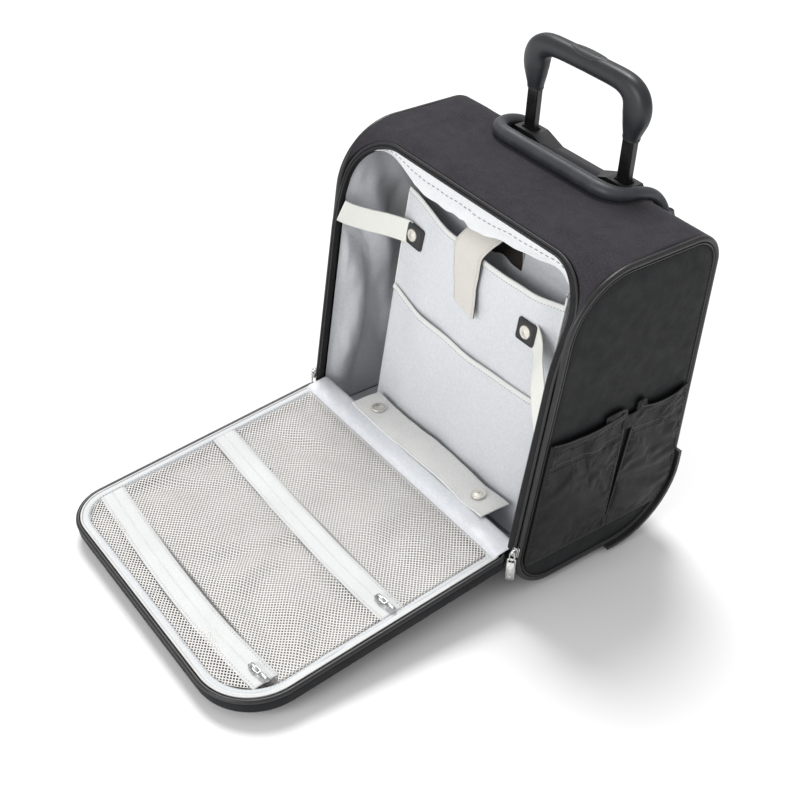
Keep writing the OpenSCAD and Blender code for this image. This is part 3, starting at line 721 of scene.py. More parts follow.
def coil(path, normal, r, closed=True, pitch=1.5, flat=0.75):
    """Zip teeth: a bead chain of rounded lumps along the path."""
    path = np.asarray(path, float)
    loop = np.vstack([path, path[:1]]) if closed else path
    n = int(np.linalg.norm(np.diff(loop, axis=0), axis=1).sum() / pitch) * 2
    p = resample(path, n, closed)
    return sweep(p, ring(r, r * flat, 8), normal, closed, np.where(np.arange(n) % 2, 0.62, 1.0))


# ---- Case body: the rest of the skins ----

def make_side_panels():
    loop = resample(side_outline(2.4, 20), 220)
    centre = np.array([112.0, 185.0])
    k = np.r_[1.0, 0.99, 0.975, np.linspace(0.955, 0.03, 23), 0.0015]
    yz = centre + k[:, None, None] * (loop - centre)[None]
    for s, side in ((-1, "left"), (1, "right")):
        flat = np.concatenate([np.full(yz.shape[:2] + (1,), s * HALF), yz], -1)
        crown = 1.4 * smooth01((1 - k) * 14)[:, None] - 1.6
        dent = rumple(flat, 85, 0.7, 5.0 * s) * smooth01((1 - k) * 5)[:, None]
        flat[..., 0] += s * (crown + dent)
        padded_piece(f"side_panel_{side}_cloth", flat, BLACK, "case", "black_fabric", f"side_panel_{side}", 0.9,
                     closed_v=True, mods=[("solid", 4.5, -1)], flip=s > 0)


def yz_path(yz, x):
    return np.column_stack([np.full(len(yz), x), yz])


def make_side_piping():
    parts = []
    for s in (-1, 1):
        path = yz_path(resample(side_outline(0.8, 20), 260), s * 177.4)
        parts.append(sweep(path, ring(3.1, n=14), (1, 0, 0)))
        inner = yz_path(resample(side_outline(4.9, 20), 260), s * 179.2)
        parts.append(sweep(inner, ring(1.0, 0.6, 8), (1, 0, 0)))
    v, f = join(parts)
    mesh_piece("side_welts", v, f, PIPING, "case", "black_piping", ["side_piping"])
    rows = [stitch_row(yz_path(resample(side_outline(7.0, 20), 400), s * 179.5), (s, 0, 0), pitch=4.4,
                       r=0.3) for s in (-1, 1)]
    mesh_piece("side_welt_stitches", *join(rows), THREAD_BLACK, "case", "black_fabric")


def arch_path(g, w, low, n):
    """Open path up one side of the opening, over the arch and down the other, g in from the front edge."""
    r, half = RIM_R - g, RIM_HALF - g
    top = RIM_L - g
    a = np.linspace(math.pi, 0, 40)
    left = [(-half, u) for u in np.linspace(low, top - r, 40)[:-1]]
    bend = [(-half + r + r * math.cos(t), top - r + r * math.sin(t)) for t in a[a >= math.pi / 2]]
    bend2 = [(half - r + r * math.cos(t), top - r + r * math.sin(t)) for t in a[a <= math.pi / 2]]
    right = [(half, u) for u in np.linspace(top - r, low, 40)[1:]]
    p = resample(left + bend + bend2 + right, n, closed=False)
    return on_face(p[:, 0], p[:, 1], w)


def arch_out(g, low, n):
    """Outward normals along an arch path."""
    return unit(arch_path(g, 1.0, low, n) - arch_path(g, 0.0, low, n))


def make_rim():
    n = 260
    out = arch_out(1.2, 1.0, n)
    tube("rim_welt", arch_path(1.2, 0.5, 1.0, n), 1.5, PIPING, "case", "black_piping", out, closed=False)
    u_share = np.linspace(-1, 1, n)
    wide = 4.6 + 5.4 * smooth01((u_share - 0.28) / 0.16) + 1.2 * np.exp(-((u_share - 0.47) / 0.12) ** 2)
    outer_edge, inner_edge = arch_path(1.6, 0.0, 0.0, n), arch_path(5.6, 0.0, 0.0, n)
    inward = unit(inner_edge - outer_edge)
    normal = arch_out(0.0, 0.0, n)
    rows = []
    for t, w in ((0.0, -5.2), (0.0, -0.6), (0.12, 0.5), (0.4, 0.7), (0.75, 0.6), (0.95, 0.2), (1.0, -0.8), (0.98, -3.0),
                 (0.9, -6.0)):
        rows.append(outer_edge + inward * (wide * t)[:, None] + normal * w)
    grid_piece("rim_band", np.array(rows), ZIP_BLACK, "case", "black_fabric", ["front_gusset"],
               mods=[("solid", 0.8, 0), ("sub", 1)])
    line = outer_edge + inward * (wide * 0.86)[:, None] + normal * 0.7
    coil_path, keep = line[4:-4], out[4:-4]
    mesh_piece("body_zip_coil", *coil(coil_path, keep[0], 0.95, closed=False), COIL_BLACK, "case", "zip_tape_black",
               ["body_zip"])
    rows = stitch_row(outer_edge + inward * (wide * 0.3)[:, None] + normal * 0.75, normal, closed=False, pitch=4.0,
                      r=0.26)
    mesh_piece("rim_stitches", *rows, THREAD_BLACK, "case", "black_fabric")


def make_back_and_bottom():
    """Back, bottom and sill panels: stretches of the side outline carried across, open where the wheel housings sit."""
    def strip(yz, bulge, xs=None):
        xs = np.linspace(-WRAP, WRAP, 70) if xs is None else xs
        p = np.concatenate([np.broadcast_to(xs[:, None, None], (len(xs), len(yz), 1)),
                            np.broadcast_to(yz[None], (len(xs), len(yz), 2))], -1).copy()
        t = tangents(np.column_stack([np.zeros(len(yz)), yz]), False)
        out = np.cross(t, (1, 0, 0))
        out *= np.sign((out * (np.column_stack([np.zeros(len(yz)), yz]) - [0, 105, 190])).sum(1, keepdims=True))
        fade = edge_fade(len(xs), len(yz), 348, np.linalg.norm(np.diff(yz, axis=0), axis=1).sum(), 22)
        p += out[None] * (fade * (bulge + rumple(p, 60, 1.0, len(yz)) - 0.4))[..., None]
        return p
    seam_z = BASE + 343.0
    back = profile_arc(BACK_SEAM_Y, seam_z, CASE_D, 101, 46)
    padded_piece("back_panel_cloth", strip(back, 2.2), BLACK, "case", "black_fabric", "back_panel", 0.8,
                 mods=[("solid", 4.0, -1), ("sub", 1)])
    parts, stitches = [], []
    x = np.linspace(-WRAP + 1, WRAP - 1, 60)
    for (y, z), out in ((back[0], (0, 0.5, 1)), (back[-1], (0, 1, 0))):
        line = np.column_stack([x, np.full(60, y), np.full(60, z)]) + np.array(out) * 0.9
        parts.append(sweep(line, ring(1.5, n=10), out, closed=False))
    for row, out in ((3, (0, 0.7, 0.7)), (-3, (0, 1, 0))):
        y, z = back[row]
        line = np.column_stack([x[2:-2], np.full(56, y), np.full(56, z)]) + np.array(out) * 0.9
        stitches.append(stitch_row(line, out, False, 4.4, 2.8, 0.28))
    mesh_piece("back_seam_welts", *join(parts), PIPING, "case", "black_piping")
    mesh_piece("back_seam_stitches", *join(stitches), THREAD_BLACK, "case", "black_fabric")
    corner_top = profile_arc(CASE_D, 101, 190.0, 30.0, 26)
    low = profile_arc(190.0, 30.0, 128.0, BASE, 20)
    under = profile_arc(128.0, BASE, 60.0, BASE, 16)
    middle = np.linspace(-WHEEL_X + ARCH_W / 2 + 0.2, WHEEL_X - ARCH_W / 2 - 0.2, 44)
    whole = np.vstack([corner_top, low[1:], under[1:]])
    padded_piece("bottom_panel_cloth", strip(whole, 0.6, middle), BLACK, "case", "black_fabric", "bottom_panel", 0.6,
                 mods=[("solid", 4.0, -1)])
    for s, side in ((-1, "left"), (1, "right")):
        edge = np.linspace(WHEEL_X + ARCH_W / 2 + 0.2, WRAP, 5) * s
        grid_piece(f"bottom_edge_{side}", strip(whole, 0.0, np.sort(edge)), BLACK, "case", "black_fabric",
                   mods=[("solid", 4.0, -1)])
        span = np.sort(np.linspace(WHEEL_X - ARCH_W / 2, WHEEL_X + ARCH_W / 2, 8) * s)
        grid_piece(f"bottom_front_{side}", strip(under, 0.0, span), BLACK, "case", "black_fabric",
                   mods=[("solid", 4.0, -1)])
    sill = np.vstack([profile_arc(60.0, BASE, 14.0, 40.0, 26), [[5.6, 62.5]]])
    sill = resample(sill, 30, closed=False)
    padded_piece("sill_cloth", strip(sill, 1.6), BLACK, "case", "black_fabric", "front_sill", 0.8,
                 mods=[("solid", 4.5, -1), ("sub", 1)])


inner = body_surface(WALL + 1.5)
LINING_X, LINING_BACK = 172.0, 182.0


def lining_point(x, a):
    """Where a ray from AXIS meets the inside of the case, its rear board or a wheel housing."""
    d = Vector((0, math.cos(a), math.sin(a)))
    hit = inner.ray_cast(Vector((np.clip(x, -173.9, 173.9), *AXIS)), d)[0]
    t = (hit - Vector((hit[0], *AXIS))).length if hit is not None else 60.0
    if d[1] > 1e-6:
        t = min(t, (LINING_BACK - AXIS[0]) / d[1])
    if abs(abs(x) - WHEEL_X) < ARCH_W / 2 + 3:
        oy, oz = WHEEL_Y - AXIS[0], WHEEL_Z - AXIS[1]
        b = d[1] * oy + d[2] * oz
        disc = b * b - (oy * oy + oz * oz - (ARCH_R + 3.5) ** 2)
        if disc > 0 and b - math.sqrt(disc) > 0:
            t = min(t, b - math.sqrt(disc))
    return AXIS[0] + d[1] * t, AXIS[1] + d[2] * t


def make_lining():
    arch = WHEEL_X - ARCH_W / 2 - 3, WHEEL_X + ARCH_W / 2 + 3
    xs = np.unique(np.r_[np.linspace(-LINING_X, LINING_X, 64),
                         [s * v for s in (-1, 1) for v in (arch[0] - 1, arch[0] + 1, arch[1] - 1, arch[1] + 1)]])
    rows = []
    for x in xs:
        y, z = on_face(x, arch_u(min(abs(x), RIM_HALF - 3)) - 7.5, -9)[1:]
        start = math.atan2(z - AXIS[1], y - AXIS[0])
        end = math.atan2(58.0 - AXIS[1], 14.0 - AXIS[0])
        rows.append([(x, *lining_point(x, a)) for a in np.linspace(start, end, 150) % (2 * math.pi)])
    p = np.array(rows)
    centre = np.array([0, *AXIS])
    to_mid = unit((centre - p) * [0, 1, 1])
    fade = edge_fade(*p.shape[:2], 344, 900, 14)
    p = p + to_mid * (fade * (0.8 + rumple(p, 48, 3.2, 2.2, (1, 1, 1.6)).clip(-0.6) + rumple(p, 17, 0.8, 4.0)))[...,
            None]
    floor_row = 112
    cloth("lining_wrap", p[:, floor_row - 1:], SATIN, "case", "silver_lining", ["lining"],
          flip=True)
    # The roof and rear of the lining take the painted-shade lining colour, darker for the shade deep inside the case.
    cloth("lining_roof", p[:, :floor_row], PAINTED_SHADE_LINING, "case", "silver_lining", flip=True)
    loop = resample(side_outline(WALL + 1.2, 20), 150)
    loop[:, 0] = np.minimum(loop[:, 0], LINING_BACK)
    mid = np.array([100.0, 190.0])
    k = inward_steps(60)
    for s, side in ((-1, "left"), (1, "right")):
        yz = mid + k[:, None, None] * (loop - mid)[None]
        q = np.concatenate([np.full(yz.shape[:2] + (1,), s * (LINING_X + 0.8)), yz], -1)
        y, z = q[..., 1], q[..., 2]
        away = smooth01((1 - k) * 7)[:, None] * smooth01((y - 12) / 30)
        ridge = np.sin((y + 0.22 * z) / 9.5 + 1.6 * np.sin(z / 38.0) + 0.5 * s) * smooth01((z - 60) / 60)
        fold = 3.4 + 2.6 * ridge + rumple(q, 42, 9.0, 9.1 * s, (1, 0.8, 2.0)) + rumple(q, 14, 1.2, 1.7 * s, (1, 1, 1.5))
        q[..., 0] -= s * away * np.clip(fold, 0.2, 13.0)
        cloth(f"lining_{side}_wall", q, SATIN, "case", "silver_lining", flip=s < 0,
              closed=True,
              cut=outline_cut(q[0][:, 1:], q))


def make_facing():
    """White strip that hangs inside the arched edge of the opening."""
    n = 190
    edge, mid = arch_path(4.4, -1.0, 250.0, n), arch_path(14.0, -3.0, 250.0, n)
    x = edge[:, 0]
    depth = np.interp(x, [-172, -156, -140, -118, -95, -70, -20, 20, 70, 115, 150, 166, 172],
                      [0.8, 1.2, 4.5, 15, 27, 25, 24.5, 25, 21, 17, 10, 3, 1])
    depth = depth * (1 + 0.05 * np.sin(x / 13.0) + 0.035 * np.sin(x / 6.1 + 1)) - 3.5 * np.exp(-((x - 2) / 7.0) ** 2)
    inward, out = unit(mid - edge), arch_out(4.4, 250.0, n)
    rows = []
    for t in np.linspace(0, 1, 12):
        back = (1.5 * t + 1.3 * np.sin(x / 10.0) * t * t + 1.4 * math.sin(math.pi * t)
                - 2.6 * t * np.exp(-((x - 4) / 9.0) ** 2))
        rows.append(edge + inward * (depth * t)[:, None] - out * np.asarray(back)[:, None])
    p = np.array(rows)
    stitches = mesh_piece("facing_stitches", *stitch_row(p[5, 24:-14] + out[24:-14] * 0.6, FACE_OUT, False, 7.0, 4.6,
                                                         0.42), THREAD_GREY, "case", "silver_lining")
    cloth("top_facing", p, FACING, "case", "silver_lining")


make_side_panels()
make_side_piping()
make_rim()
make_back_and_bottom()
make_lining()
make_facing()


# ---- Lid ----

MESH_ZIPS = ((139.0, 134.0), (132.0, 272.0))   # place of each slider across, and of its zip from the hinge
BAND_W, NET_IN = 27.6, 13.5      # width of a mesh zip's tape, and how far in from the lid's edge the net starts
GUSSET_HALF = 168.0


def lid_loop(g, n, t):
    p = resample(lid_outline(g, LID_START, 20), n)
    return on_lid(p[:, 0], p[:, 1], t)


def lid_fill(g, rings, n, t_of):
    """Grid of rings that fills the lid's outline; t_of gives the height from x, s and the share of the way out."""
    loop = resample(lid_outline(g, LID_START, 20), n)
    mid = np.array([0.0, (LID_START + LID_L) / 2])
    k = inward_steps(rings)
    xs = mid + k[:, None, None] * (loop - mid)[None]
    t = t_of(xs[..., 0], xs[..., 1], np.broadcast_to(k[:, None], xs.shape[:2]))
    return on_lid(xs[..., 0], xs[..., 1], t)


def net_wave(x, s):
    """Puckers of the net: soft diagonal ridges that die out at the sewn edges and zips."""
    q = np.stack([x, s, np.zeros_like(x)], -1)
    drift = rumple(q, 95, 1.0, 4.4) * 2.2
    ridges = np.sin((0.75 * x + 0.66 * s) / 12.5 + 3.2 * drift) + 0.8 * np.sin((x - 0.55 * s) / 17.0 + 2.5 * drift)
    edge = np.minimum.reduce([LID_HALF - NET_IN - np.abs(x), s - LID_START - NET_IN, LID_L - NET_IN - s])
    zips = np.minimum.reduce([np.abs(s - z[1]) - BAND_W / 2 for z in MESH_ZIPS])
    hold = smooth01(np.clip(edge, 0, None) / 26) * (0.25 + 0.75 * smooth01(np.clip(zips, 0, None) / 22))
    return hold * (1.9 * ridges - 2.0 + rumple(q, 42, 3.0, 1.3))


def make_net():
    """Diamond net: every cell is a frame of four bars round a hole."""
    a, b, open_share = 4.6, 4.0, 0.66
    cells = []
    for i in range(-37, 38):
        for j in range(150):
            x, s = i * a + (j % 2) * a / 2, 16 + j * b / 2
            cells.append((x, s))
    c = np.array(cells)
    rx = LID_HALF - NET_IN - 1
    corner = np.where(c[:, 0] > 0, LID_R[1], LID_R[0]) - NET_IN
    dx = np.maximum(np.abs(c[:, 0]) - (rx - corner), 0)
    far = np.maximum(c[:, 1] - (LID_L - NET_IN - corner), 0)
    keep = (np.abs(c[:, 0]) < rx) & (c[:, 1] > LID_START + NET_IN) & (c[:,
            1] < LID_L - NET_IN) & (dx ** 2 + far ** 2 < corner ** 2)
    for _, s0 in MESH_ZIPS:
        keep &= np.abs(c[:, 1] - s0) > BAND_W / 2 - 2
    c = c[keep]
    corners = np.array([(-a / 2, 0), (0, -b / 2), (a / 2, 0), (0, b / 2)])
    hole = corners * open_share
    pts = np.concatenate([c[:, None] + corners, c[:, None] + hole], 1)
    quad = np.array([(k, (k + 1) % 4, 4 + (k + 1) % 4, 4 + k) for k in range(4)])
    faces = (quad[None] + (np.arange(len(c)) * 8)[:, None, None]).reshape(-1, 4)
    key = np.round(pts.reshape(-1, 2) * 20).astype(int)
    _, first, back = np.unique(key, axis=0, return_index=True, return_inverse=True)
    flat = pts.reshape(-1, 2)[first]
    t = -1.5 + net_wave(flat[:, 0], flat[:, 1]) + 0.35 * (rumple(np.column_stack([flat, flat[:, 0] * 0]), 2.5, 1, 0.3))
    v = on_lid(flat[:, 0], flat[:, 1], t)
    ob = mesh_piece("lid_net", v, back.reshape(-1)[faces], NET, "lid", "mesh_net", ["lid_mesh"])


def zip_sway(k, x):
    """How far zip k bows away from a straight line at x."""
    return 1.8 * np.sin(x / 60.0 + k) + (4.0 + k) * (1 - (x / 150.0) ** 2)


def make_mesh_zips():
    coils, rows = [], []
    for k, (x0, s0) in enumerate(MESH_ZIPS):
        far = s0 > 200
        reach = LID_HALF - NET_IN
        x = np.linspace(-reach, reach - (7.5 if far else 0), 120)
        sway = zip_sway(k, x)
        w = np.linspace(-BAND_W / 2, BAND_W / 2, 13)
        hump = 1.0 * np.sin(x / 33.0 + 2 * k) + 0.3 * np.sin(x / 13.0)
        lift = 0.2 * np.exp(-(w / 2.2) ** 2) + 0.9 * np.exp(-((np.abs(w) - BAND_W / 2) / 3.5) ** 2) * -0.6
        s = s0 + sway[:, None] + w[None]
        t = -0.7 + hump[:, None] + lift[None] - 0.55 * (np.abs(w) < 0.9)[None]
        p = on_lid(np.broadcast_to(x[:, None], s.shape), s, t)
        name = "far" if far else "near"
        cloth(f"mesh_zip_tape_{name}", p, TAPE_WHITE, "lid", "zip_tape_white",
              ["mesh_zip_bands"] if far else (), thick=0.8, sub=0)
        run = x < x0 - 4
        centre = on_lid(x[run], s0 + sway[run], -0.45 + hump[run])
        coils.append(coil(centre, LID_UP, 0.75, False, 1.4, 0.5))
        for off in (-BAND_W / 2 + 2.6, BAND_W / 2 - 2.6):
            rows.append(stitch_row(on_lid(x, s0 + sway + off, -0.15 + hump), LID_UP, False, 3.6, 2.3, 0.3))
    mesh_piece("mesh_zip_coils", *join(coils), COIL_WHITE, "lid", "zip_tape_white")
    mesh_piece("mesh_zip_stitches", *join(rows), THREAD_WHITE, "lid", "zip_tape_white")


def make_lid():
    def bottom(x, s, k):
        q = np.stack([x, s, k * 0], -1)
        return -LID_T + 0.8 - 1.2 * smooth01((1 - k) * 9) + rumple(q, 70, 0.9, 2.0) * smooth01((1 - k) * 6)
    padded_piece("lid_outer_cloth", lid_fill(1.2, 22, 200, bottom), CHARCOAL, "lid", "charcoal_fabric", "lid_panel",
                 0.8,
                 closed_v=True, mods=[("solid", 3.0, 1)])
    wall = np.array([lid_loop(g, 240, t) for g, t in ((2.6, -LID_T + 1.2), (1.2, -LID_T + 3), (0.9, -12), (0.9, -8.5),
                                                      (1.4, -4.6))])
    grid_piece("lid_wall_cloth", wall, BLACK, "lid", "black_fabric", ["lid_wall"], closed_v=True,
               mods=[("solid", 2.2, 1), ("sub", 1)])
    tube("lid_bottom_welt", lid_loop(1.4, 260, -LID_T + 2.2), 1.7, PIPING, "lid", "black_piping", LID_UP)
    tube("lid_welt", lid_loop(1.0, 260, -3.1), 2.6, PIPING, "lid", "black_piping", LID_UP, stands_for=["lid_piping"])
    mesh_piece("lid_wall_stitches", *stitch_row(lid_loop(-0.3, 300, -8.5),
                                                unit(lid_loop(-2, 300, -8.5) - lid_loop(1, 300, -8.5)), True, 4.4, 2.8,
                                                0.26),
               THREAD_BLACK, "lid", "black_fabric")
    tape("lid_zip_tape", lid_loop(7.4, 300, -1.5), LID_UP, 6.2, 0.9, TAPE_WHITE, "lid", "zip_tape_white", True,
         ["lid_zip"])
    band = np.array([lid_loop(g, 320, t) for g, t in ((7.4, -3.4), (8.0, -2.0), (9.2, -1.2), (11.4, -1.0), (13.0, -1.8),
                                                      (14.0, -5.4))])
    wob = rumple(band, 26, 0.9, 6.1)
    band = band + LID_UP * (wob * np.array([0.3, 0.8, 1, 1, 0.7, 0.2])[:, None])[..., None]
    cloth("lid_net_binding", band, LID_BINDING, "lid", "zip_tape_white", thick=1.0,
          closed=True)
    mesh_piece("lid_zip_coil", *coil(lid_loop(4.6, 400, -0.7), LID_UP, 1.3, True, 1.6, 0.7), COIL_WHITE, "lid",
               "zip_tape_white")
    mesh_piece("lid_binding_stitches", *stitch_row(lid_loop(11.9, 300, -0.55), LID_UP, True, 3.8, 2.4, 0.3),
               THREAD_WHITE, "lid", "zip_tape_white")

    def floor(x, s, k):
        q = np.stack([x, s, k * 0], -1)
        ridges = np.sin((0.8 * x + 0.5 * s) / 14.0 + 2.4 * rumple(q, 80, 1.0, 8.8)) * 2.6
        inside = smooth01((1 - k) * 8)
        return -LID_T + 4.4 + inside * (2.4 + ridges + rumple(q, 36, 3.4, 5.2))
    folds = lid_fill(4.6, 60, 150, floor)
    # The lid's lining under the net takes the darker painted-shade satin.
    cloth("lid_lining_cloth", folds, LID_FLOOR_PAINTED_SHADE, "lid", "silver_lining",
          ["lid_lining"],
          closed=True, cut=outline_cut(resample(lid_outline(4.6, LID_START, 20), 150), folds))
    inner_wall = np.array([lid_loop(g, 240, t) for g, t in ((4.8, -LID_T + 4.2), (4.6, -11), (5.2, -4.5), (9.0, -2.2))])
    cloth("lid_inner_wall", inner_wall, SATIN, "lid", "silver_lining", closed=True)
    make_net()
    make_mesh_zips()


def make_hinge_gusset():
    """Cloth strip from the net's near edge over the fold to the sill."""
    x = np.linspace(-GUSSET_HALF, GUSSET_HALF, 110)
    ends = smooth01((np.abs(x) - 95) / 60)
    keys = [on_lid(x, LID_START + 13.5, -1.2), on_lid(x, LID_START + 10.5, 0.5), on_lid(x, LID_START + 4.0, 0.9),
            np.column_stack([x, np.full(110, HINGE_Y + 2.0), np.full(110, HINGE_Z + 1.0)]),
            np.column_stack([x, np.full(110, HINGE_Y + 9.0), np.full(110, HINGE_Z + 1.5)]),
            np.column_stack([x, np.full(110, HINGE_Y + 12.5), np.full(110, HINGE_Z - 0.6)])]
    rows = spline(np.array(keys).reshape(len(keys), -1), 13).reshape(13, 110, 3)
    inside = np.sin(math.pi * np.linspace(0, 1, 13)) ** 0.7
    rows[..., 2] += inside[:, None] * (0.4 + np.clip(rumple(rows, 20, 3.4, 4.4, (1.0, 1.6, 1)), -0.3,
                                                     3.0) * (0.35 + 0.9 * ends)[None])
    ob = mesh_piece("hinge_gusset_cloth", rows.reshape(-1, 3), grid_faces(13, 110), SATIN, None, "silver_lining",
                    ["hinge_gusset"],
                    mods=[("solid", 0.9, 0), ("sub", 1)])
    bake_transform(ob)


make_lid()
make_hinge_gusset()


# ---- Organizer, straps and flap ----

def hem_z(x):
    """Top edge of the laptop pocket's front sheet: it droops right of the left corner."""
    return POCKET_H - np.interp(x, [-122, -108, -95, -80, -62, -45, -10, 20, 50, 85, 110, 122],
                                [0, 2, 4.5, 7.5, 10.5, 13, 16, 18, 18.5, 17, 15, 14])


def low_hem_z(x):
    """Top edge of the lower pocket: it sags and ripples."""
    return np.interp(x, [-122, -114, -104, -92, -75, -45, -12, 12, 45, 90, 122],
                     [172, 170.5, 168, 165.5, 163, 161, 159.5, 158.8, 158.5, 159.5, 161])


def front_y(x, z):
    """How far the laptop pocket's front sheet stands off its plane, minus being to the front."""
    u, v = x / ORG_HALF, z / POCKET_H
    belly = (1 - np.clip(np.abs(u), 0, 1) ** 4) * np.sin(math.pi * np.clip(v, 0, 1) ** 0.8)
    q = np.stack(np.broadcast_arrays(x, 0.0 * x, z), -1)
    slack = smooth01((v - 0.55) / 0.45)
    out = 9.0 * slack * smooth01((x + 112) / 70) * smooth01((128 - x) / 40)
    return -2.0 * belly - out - rumple(q, 46, 2.2, 6.6, (1, 1, 1.7)) * (1 - u ** 6)


def low_y(x, z):
    u = x / ORG_HALF
    v = z / low_hem_z(x)
    belly = (1 - np.clip(np.abs(u), 0, 1) ** 4) * np.sin(math.pi * np.clip(v, 0, 1) ** 1.3) * 2.6
    q = np.stack(np.broadcast_arrays(x, 0.0 * x, z), -1)
    gape = 2.6 * smooth01((v - 0.6) / 0.4) * (1 - u ** 2)
    return front_y(x, z) - 1.6 - belly - gape - rumple(q, 40, 1.8, 2.9, (1, 1, 1.6)) * (1 - u ** 6)


def hem(name, x, y, z, width=7.0):
    """Binding folded over a top edge, with its stitch row."""
    path = on_org(x, y, z - width / 2 + 0.8)
    tape(name, path, ORG_OUT, width, 2.2, BINDING, "organizer", "silver_lining")
    mesh_piece(name + "_stitches", *stitch_row(on_org(x, y - 1.15, z - width + 2.2), ORG_OUT, False, 3.4, 2.2, 0.28),
               THREAD_GREY, "organizer", "silver_lining")


def make_organizer():
    x = np.linspace(-ORG_HALF, ORG_HALF, 90)
    v = np.linspace(0, 1, 90)
    top = 292 - 2.5 * np.exp(-((x - 5) / 40.0) ** 2) - 3.0 * smooth01((x - 40) / 70)
    board_z = 3.0 + v[None, :] * (top[:, None] - 3.0)
    gx = np.broadcast_to(x[:, None], board_z.shape)
    q = np.stack([gx, 0 * gx, board_z], -1)
    sway = 1.8 * rumple(q, 60, 1.0,
                        3.3) * smooth01(v * 3)[None] + 2.0 * smooth01((v - 0.88) / 0.12)[None] * np.sin(gx / 33.0)
    padded_piece("organizer_board_pad", on_org(gx, POCKET_T + 1.0 + sway, board_z), SATIN, "organizer", "silver_lining",
                 "organizer_board", 0.8, mods=[("solid", 4.5, 1), ("sub", 1)], flip=True)
    hem("board_binding", x, POCKET_T + 3.2 + sway[:, -1], top)
    fz = v[None, :] * hem_z(x)[:, None]
    cloth("laptop_pocket_front", on_org(gx, front_y(gx, fz), fz), SATIN, "organizer", "silver_lining",
          ["organizer_pocket"], thick=1.0)
    hem("laptop_pocket_binding", x, front_y(x, hem_z(x)) - 0.2, hem_z(x))
    lz = v[None, :] * low_hem_z(x)[:, None]
    cloth("lower_pocket_front", on_org(gx, low_y(gx, lz), lz), SATIN, "organizer", "silver_lining",
          ["organizer_low_pocket"], thick=1.0)
    hem("lower_pocket_binding", x, low_y(x, low_hem_z(x)) - 0.3, low_hem_z(x))
    y = np.linspace(0, POCKET_T + 1.5, 31)
    for s, side in ((-1, "left"), (1, "right")):
        z = np.linspace(0, POCKET_H, 70)
        fold = 3.4 * np.abs((y / (POCKET_T + 1.5) * 2.0 + 0.25) % 1.0 * 2 - 1)
        gy, gz = np.meshgrid(y, z, indexing="ij")
        wav = 1.0 * np.sin(gz / 26.0 + s) + 0.8 * np.sin(gz / 11.0)
        top_fall = 5.0 * np.sin(math.pi * gy / (POCKET_T + 1.5)) * (gz / POCKET_H) ** 8
        gx2 = s * (ORG_HALF - 0.6 - np.broadcast_to(fold[:, None], gy.shape) - 0.5 * wav)
        cloth(f"pocket_gusset_{side}", on_org(gx2, gy, gz - top_fall), SATIN, "organizer", "silver_lining",
              thick=0.9)
        edge = on_org(s * (ORG_HALF - 0.6 - fold), y, POCKET_H - 2.4 - 5.0 * np.sin(math.pi * y / (POCKET_T + 1.5)))
        tape(f"gusset_binding_{side}", edge, np.array([s * 1.0, 0, 0.2]), 5.5, 1.8, BINDING, "organizer",
             "silver_lining")
        seam = on_org(np.full(60, s * (ORG_HALF - 0.3)), front_y(np.full(60, s * ORG_HALF), z[:60]) - 0.4,
                      np.linspace(2, POCKET_H - 4, 60))
        tube(f"organizer_edge_{side}", seam, 1.3, BINDING, "organizer", "silver_lining", ORG_OUT, closed=False)
    foot = np.array([on_org(x, yy, np.full_like(x, zz)) for yy,
                     zz in ((-3, 3), (-1.5, 0.8), (6, 0.6), (13, 1.6), (POCKET_T + 1, 3.0))])
    cloth("organizer_foot", foot, SATIN, "organizer", "silver_lining")


def make_closure():
    path = spline([(23.5, 262), (22.5, 278), (19.5, 291), (12.5, 300), (3.5, 303), (-6.5, 297.5), (-13.5, 284),
                   (-14.6, 268), (-11.2, 248), (-9.4, 228), (-10.6, 206)], 80)
    t = np.linspace(0, 1, len(path))
    centre = np.interp(t, [0, 0.3, 0.42, 0.58, 0.8, 1.0], [14, 11, 7, -6, -8, -1.5])
    width = np.interp(t, [0, 0.5, 0.8, 1.0], [47, 44, 42, 40])
    cross = np.linspace(-0.5, 0.5, 15)
    tan = tangents(path, False)
    nrm = np.column_stack([-tan[:, 1], tan[:, 0]])
    cup = (np.abs(cross) * 2) ** 2.2
    twist = 3.2 * smooth01((t - 0.55) / 0.45)
    xs = centre[:, None] + width[:, None] * cross[None]
    off = cup[None] * (0.8 + 1.0 * np.sin(t * 6)[:, None]) - twist[:, None] * cross[None] * 2
    y = path[:, 0][:, None] + nrm[:, 0][:, None] * off
    z = path[:, 1][:, None] + nrm[:, 1][:, None] * off - cross[None] * 3.0 * smooth01((t - 0.6) / 0.4)[:, None]
    fray = rumple(np.stack([xs, y, z], -1), 6, 1.0, 2.0) * smooth01((t - 0.93) / 0.07)[:, None]
    top = on_org(xs, y, z + fray)
    cloth("closure_strap_felt", top, FELT, "closure", "closure_felt",
          ["closure_strap"], thick=1.6, sub=1)
    inward = unit(on_org(0, nrm[:, 0], nrm[:, 1]) - on_org(0, 0.0, 0.0))
    under = (xs - centre[:, None]) * 0.985 + centre[:, None]
    # The strap's underside is a second sheet in the darker painted-shade felt, for the shade under the arch.
    cloth("closure_strap_backing", on_org(under, y, z + fray) - inward[:, None] * -1.5, FELT_UNDERSIDE_SHADE, "closure",
          "closure_felt",
          thick=1.0, sub=1)
    for k, c in enumerate((-0.44, 0.44)):
        column = int(round((c + 0.5) * 14))
        line = top[:, column] - inward * 1.1
        mesh_piece(f"closure_stitches_{k}", *stitch_row(line, -inward, False, 3.6, 2.4, 0.28), THREAD_WHITE, "closure",
                   "closure_felt")


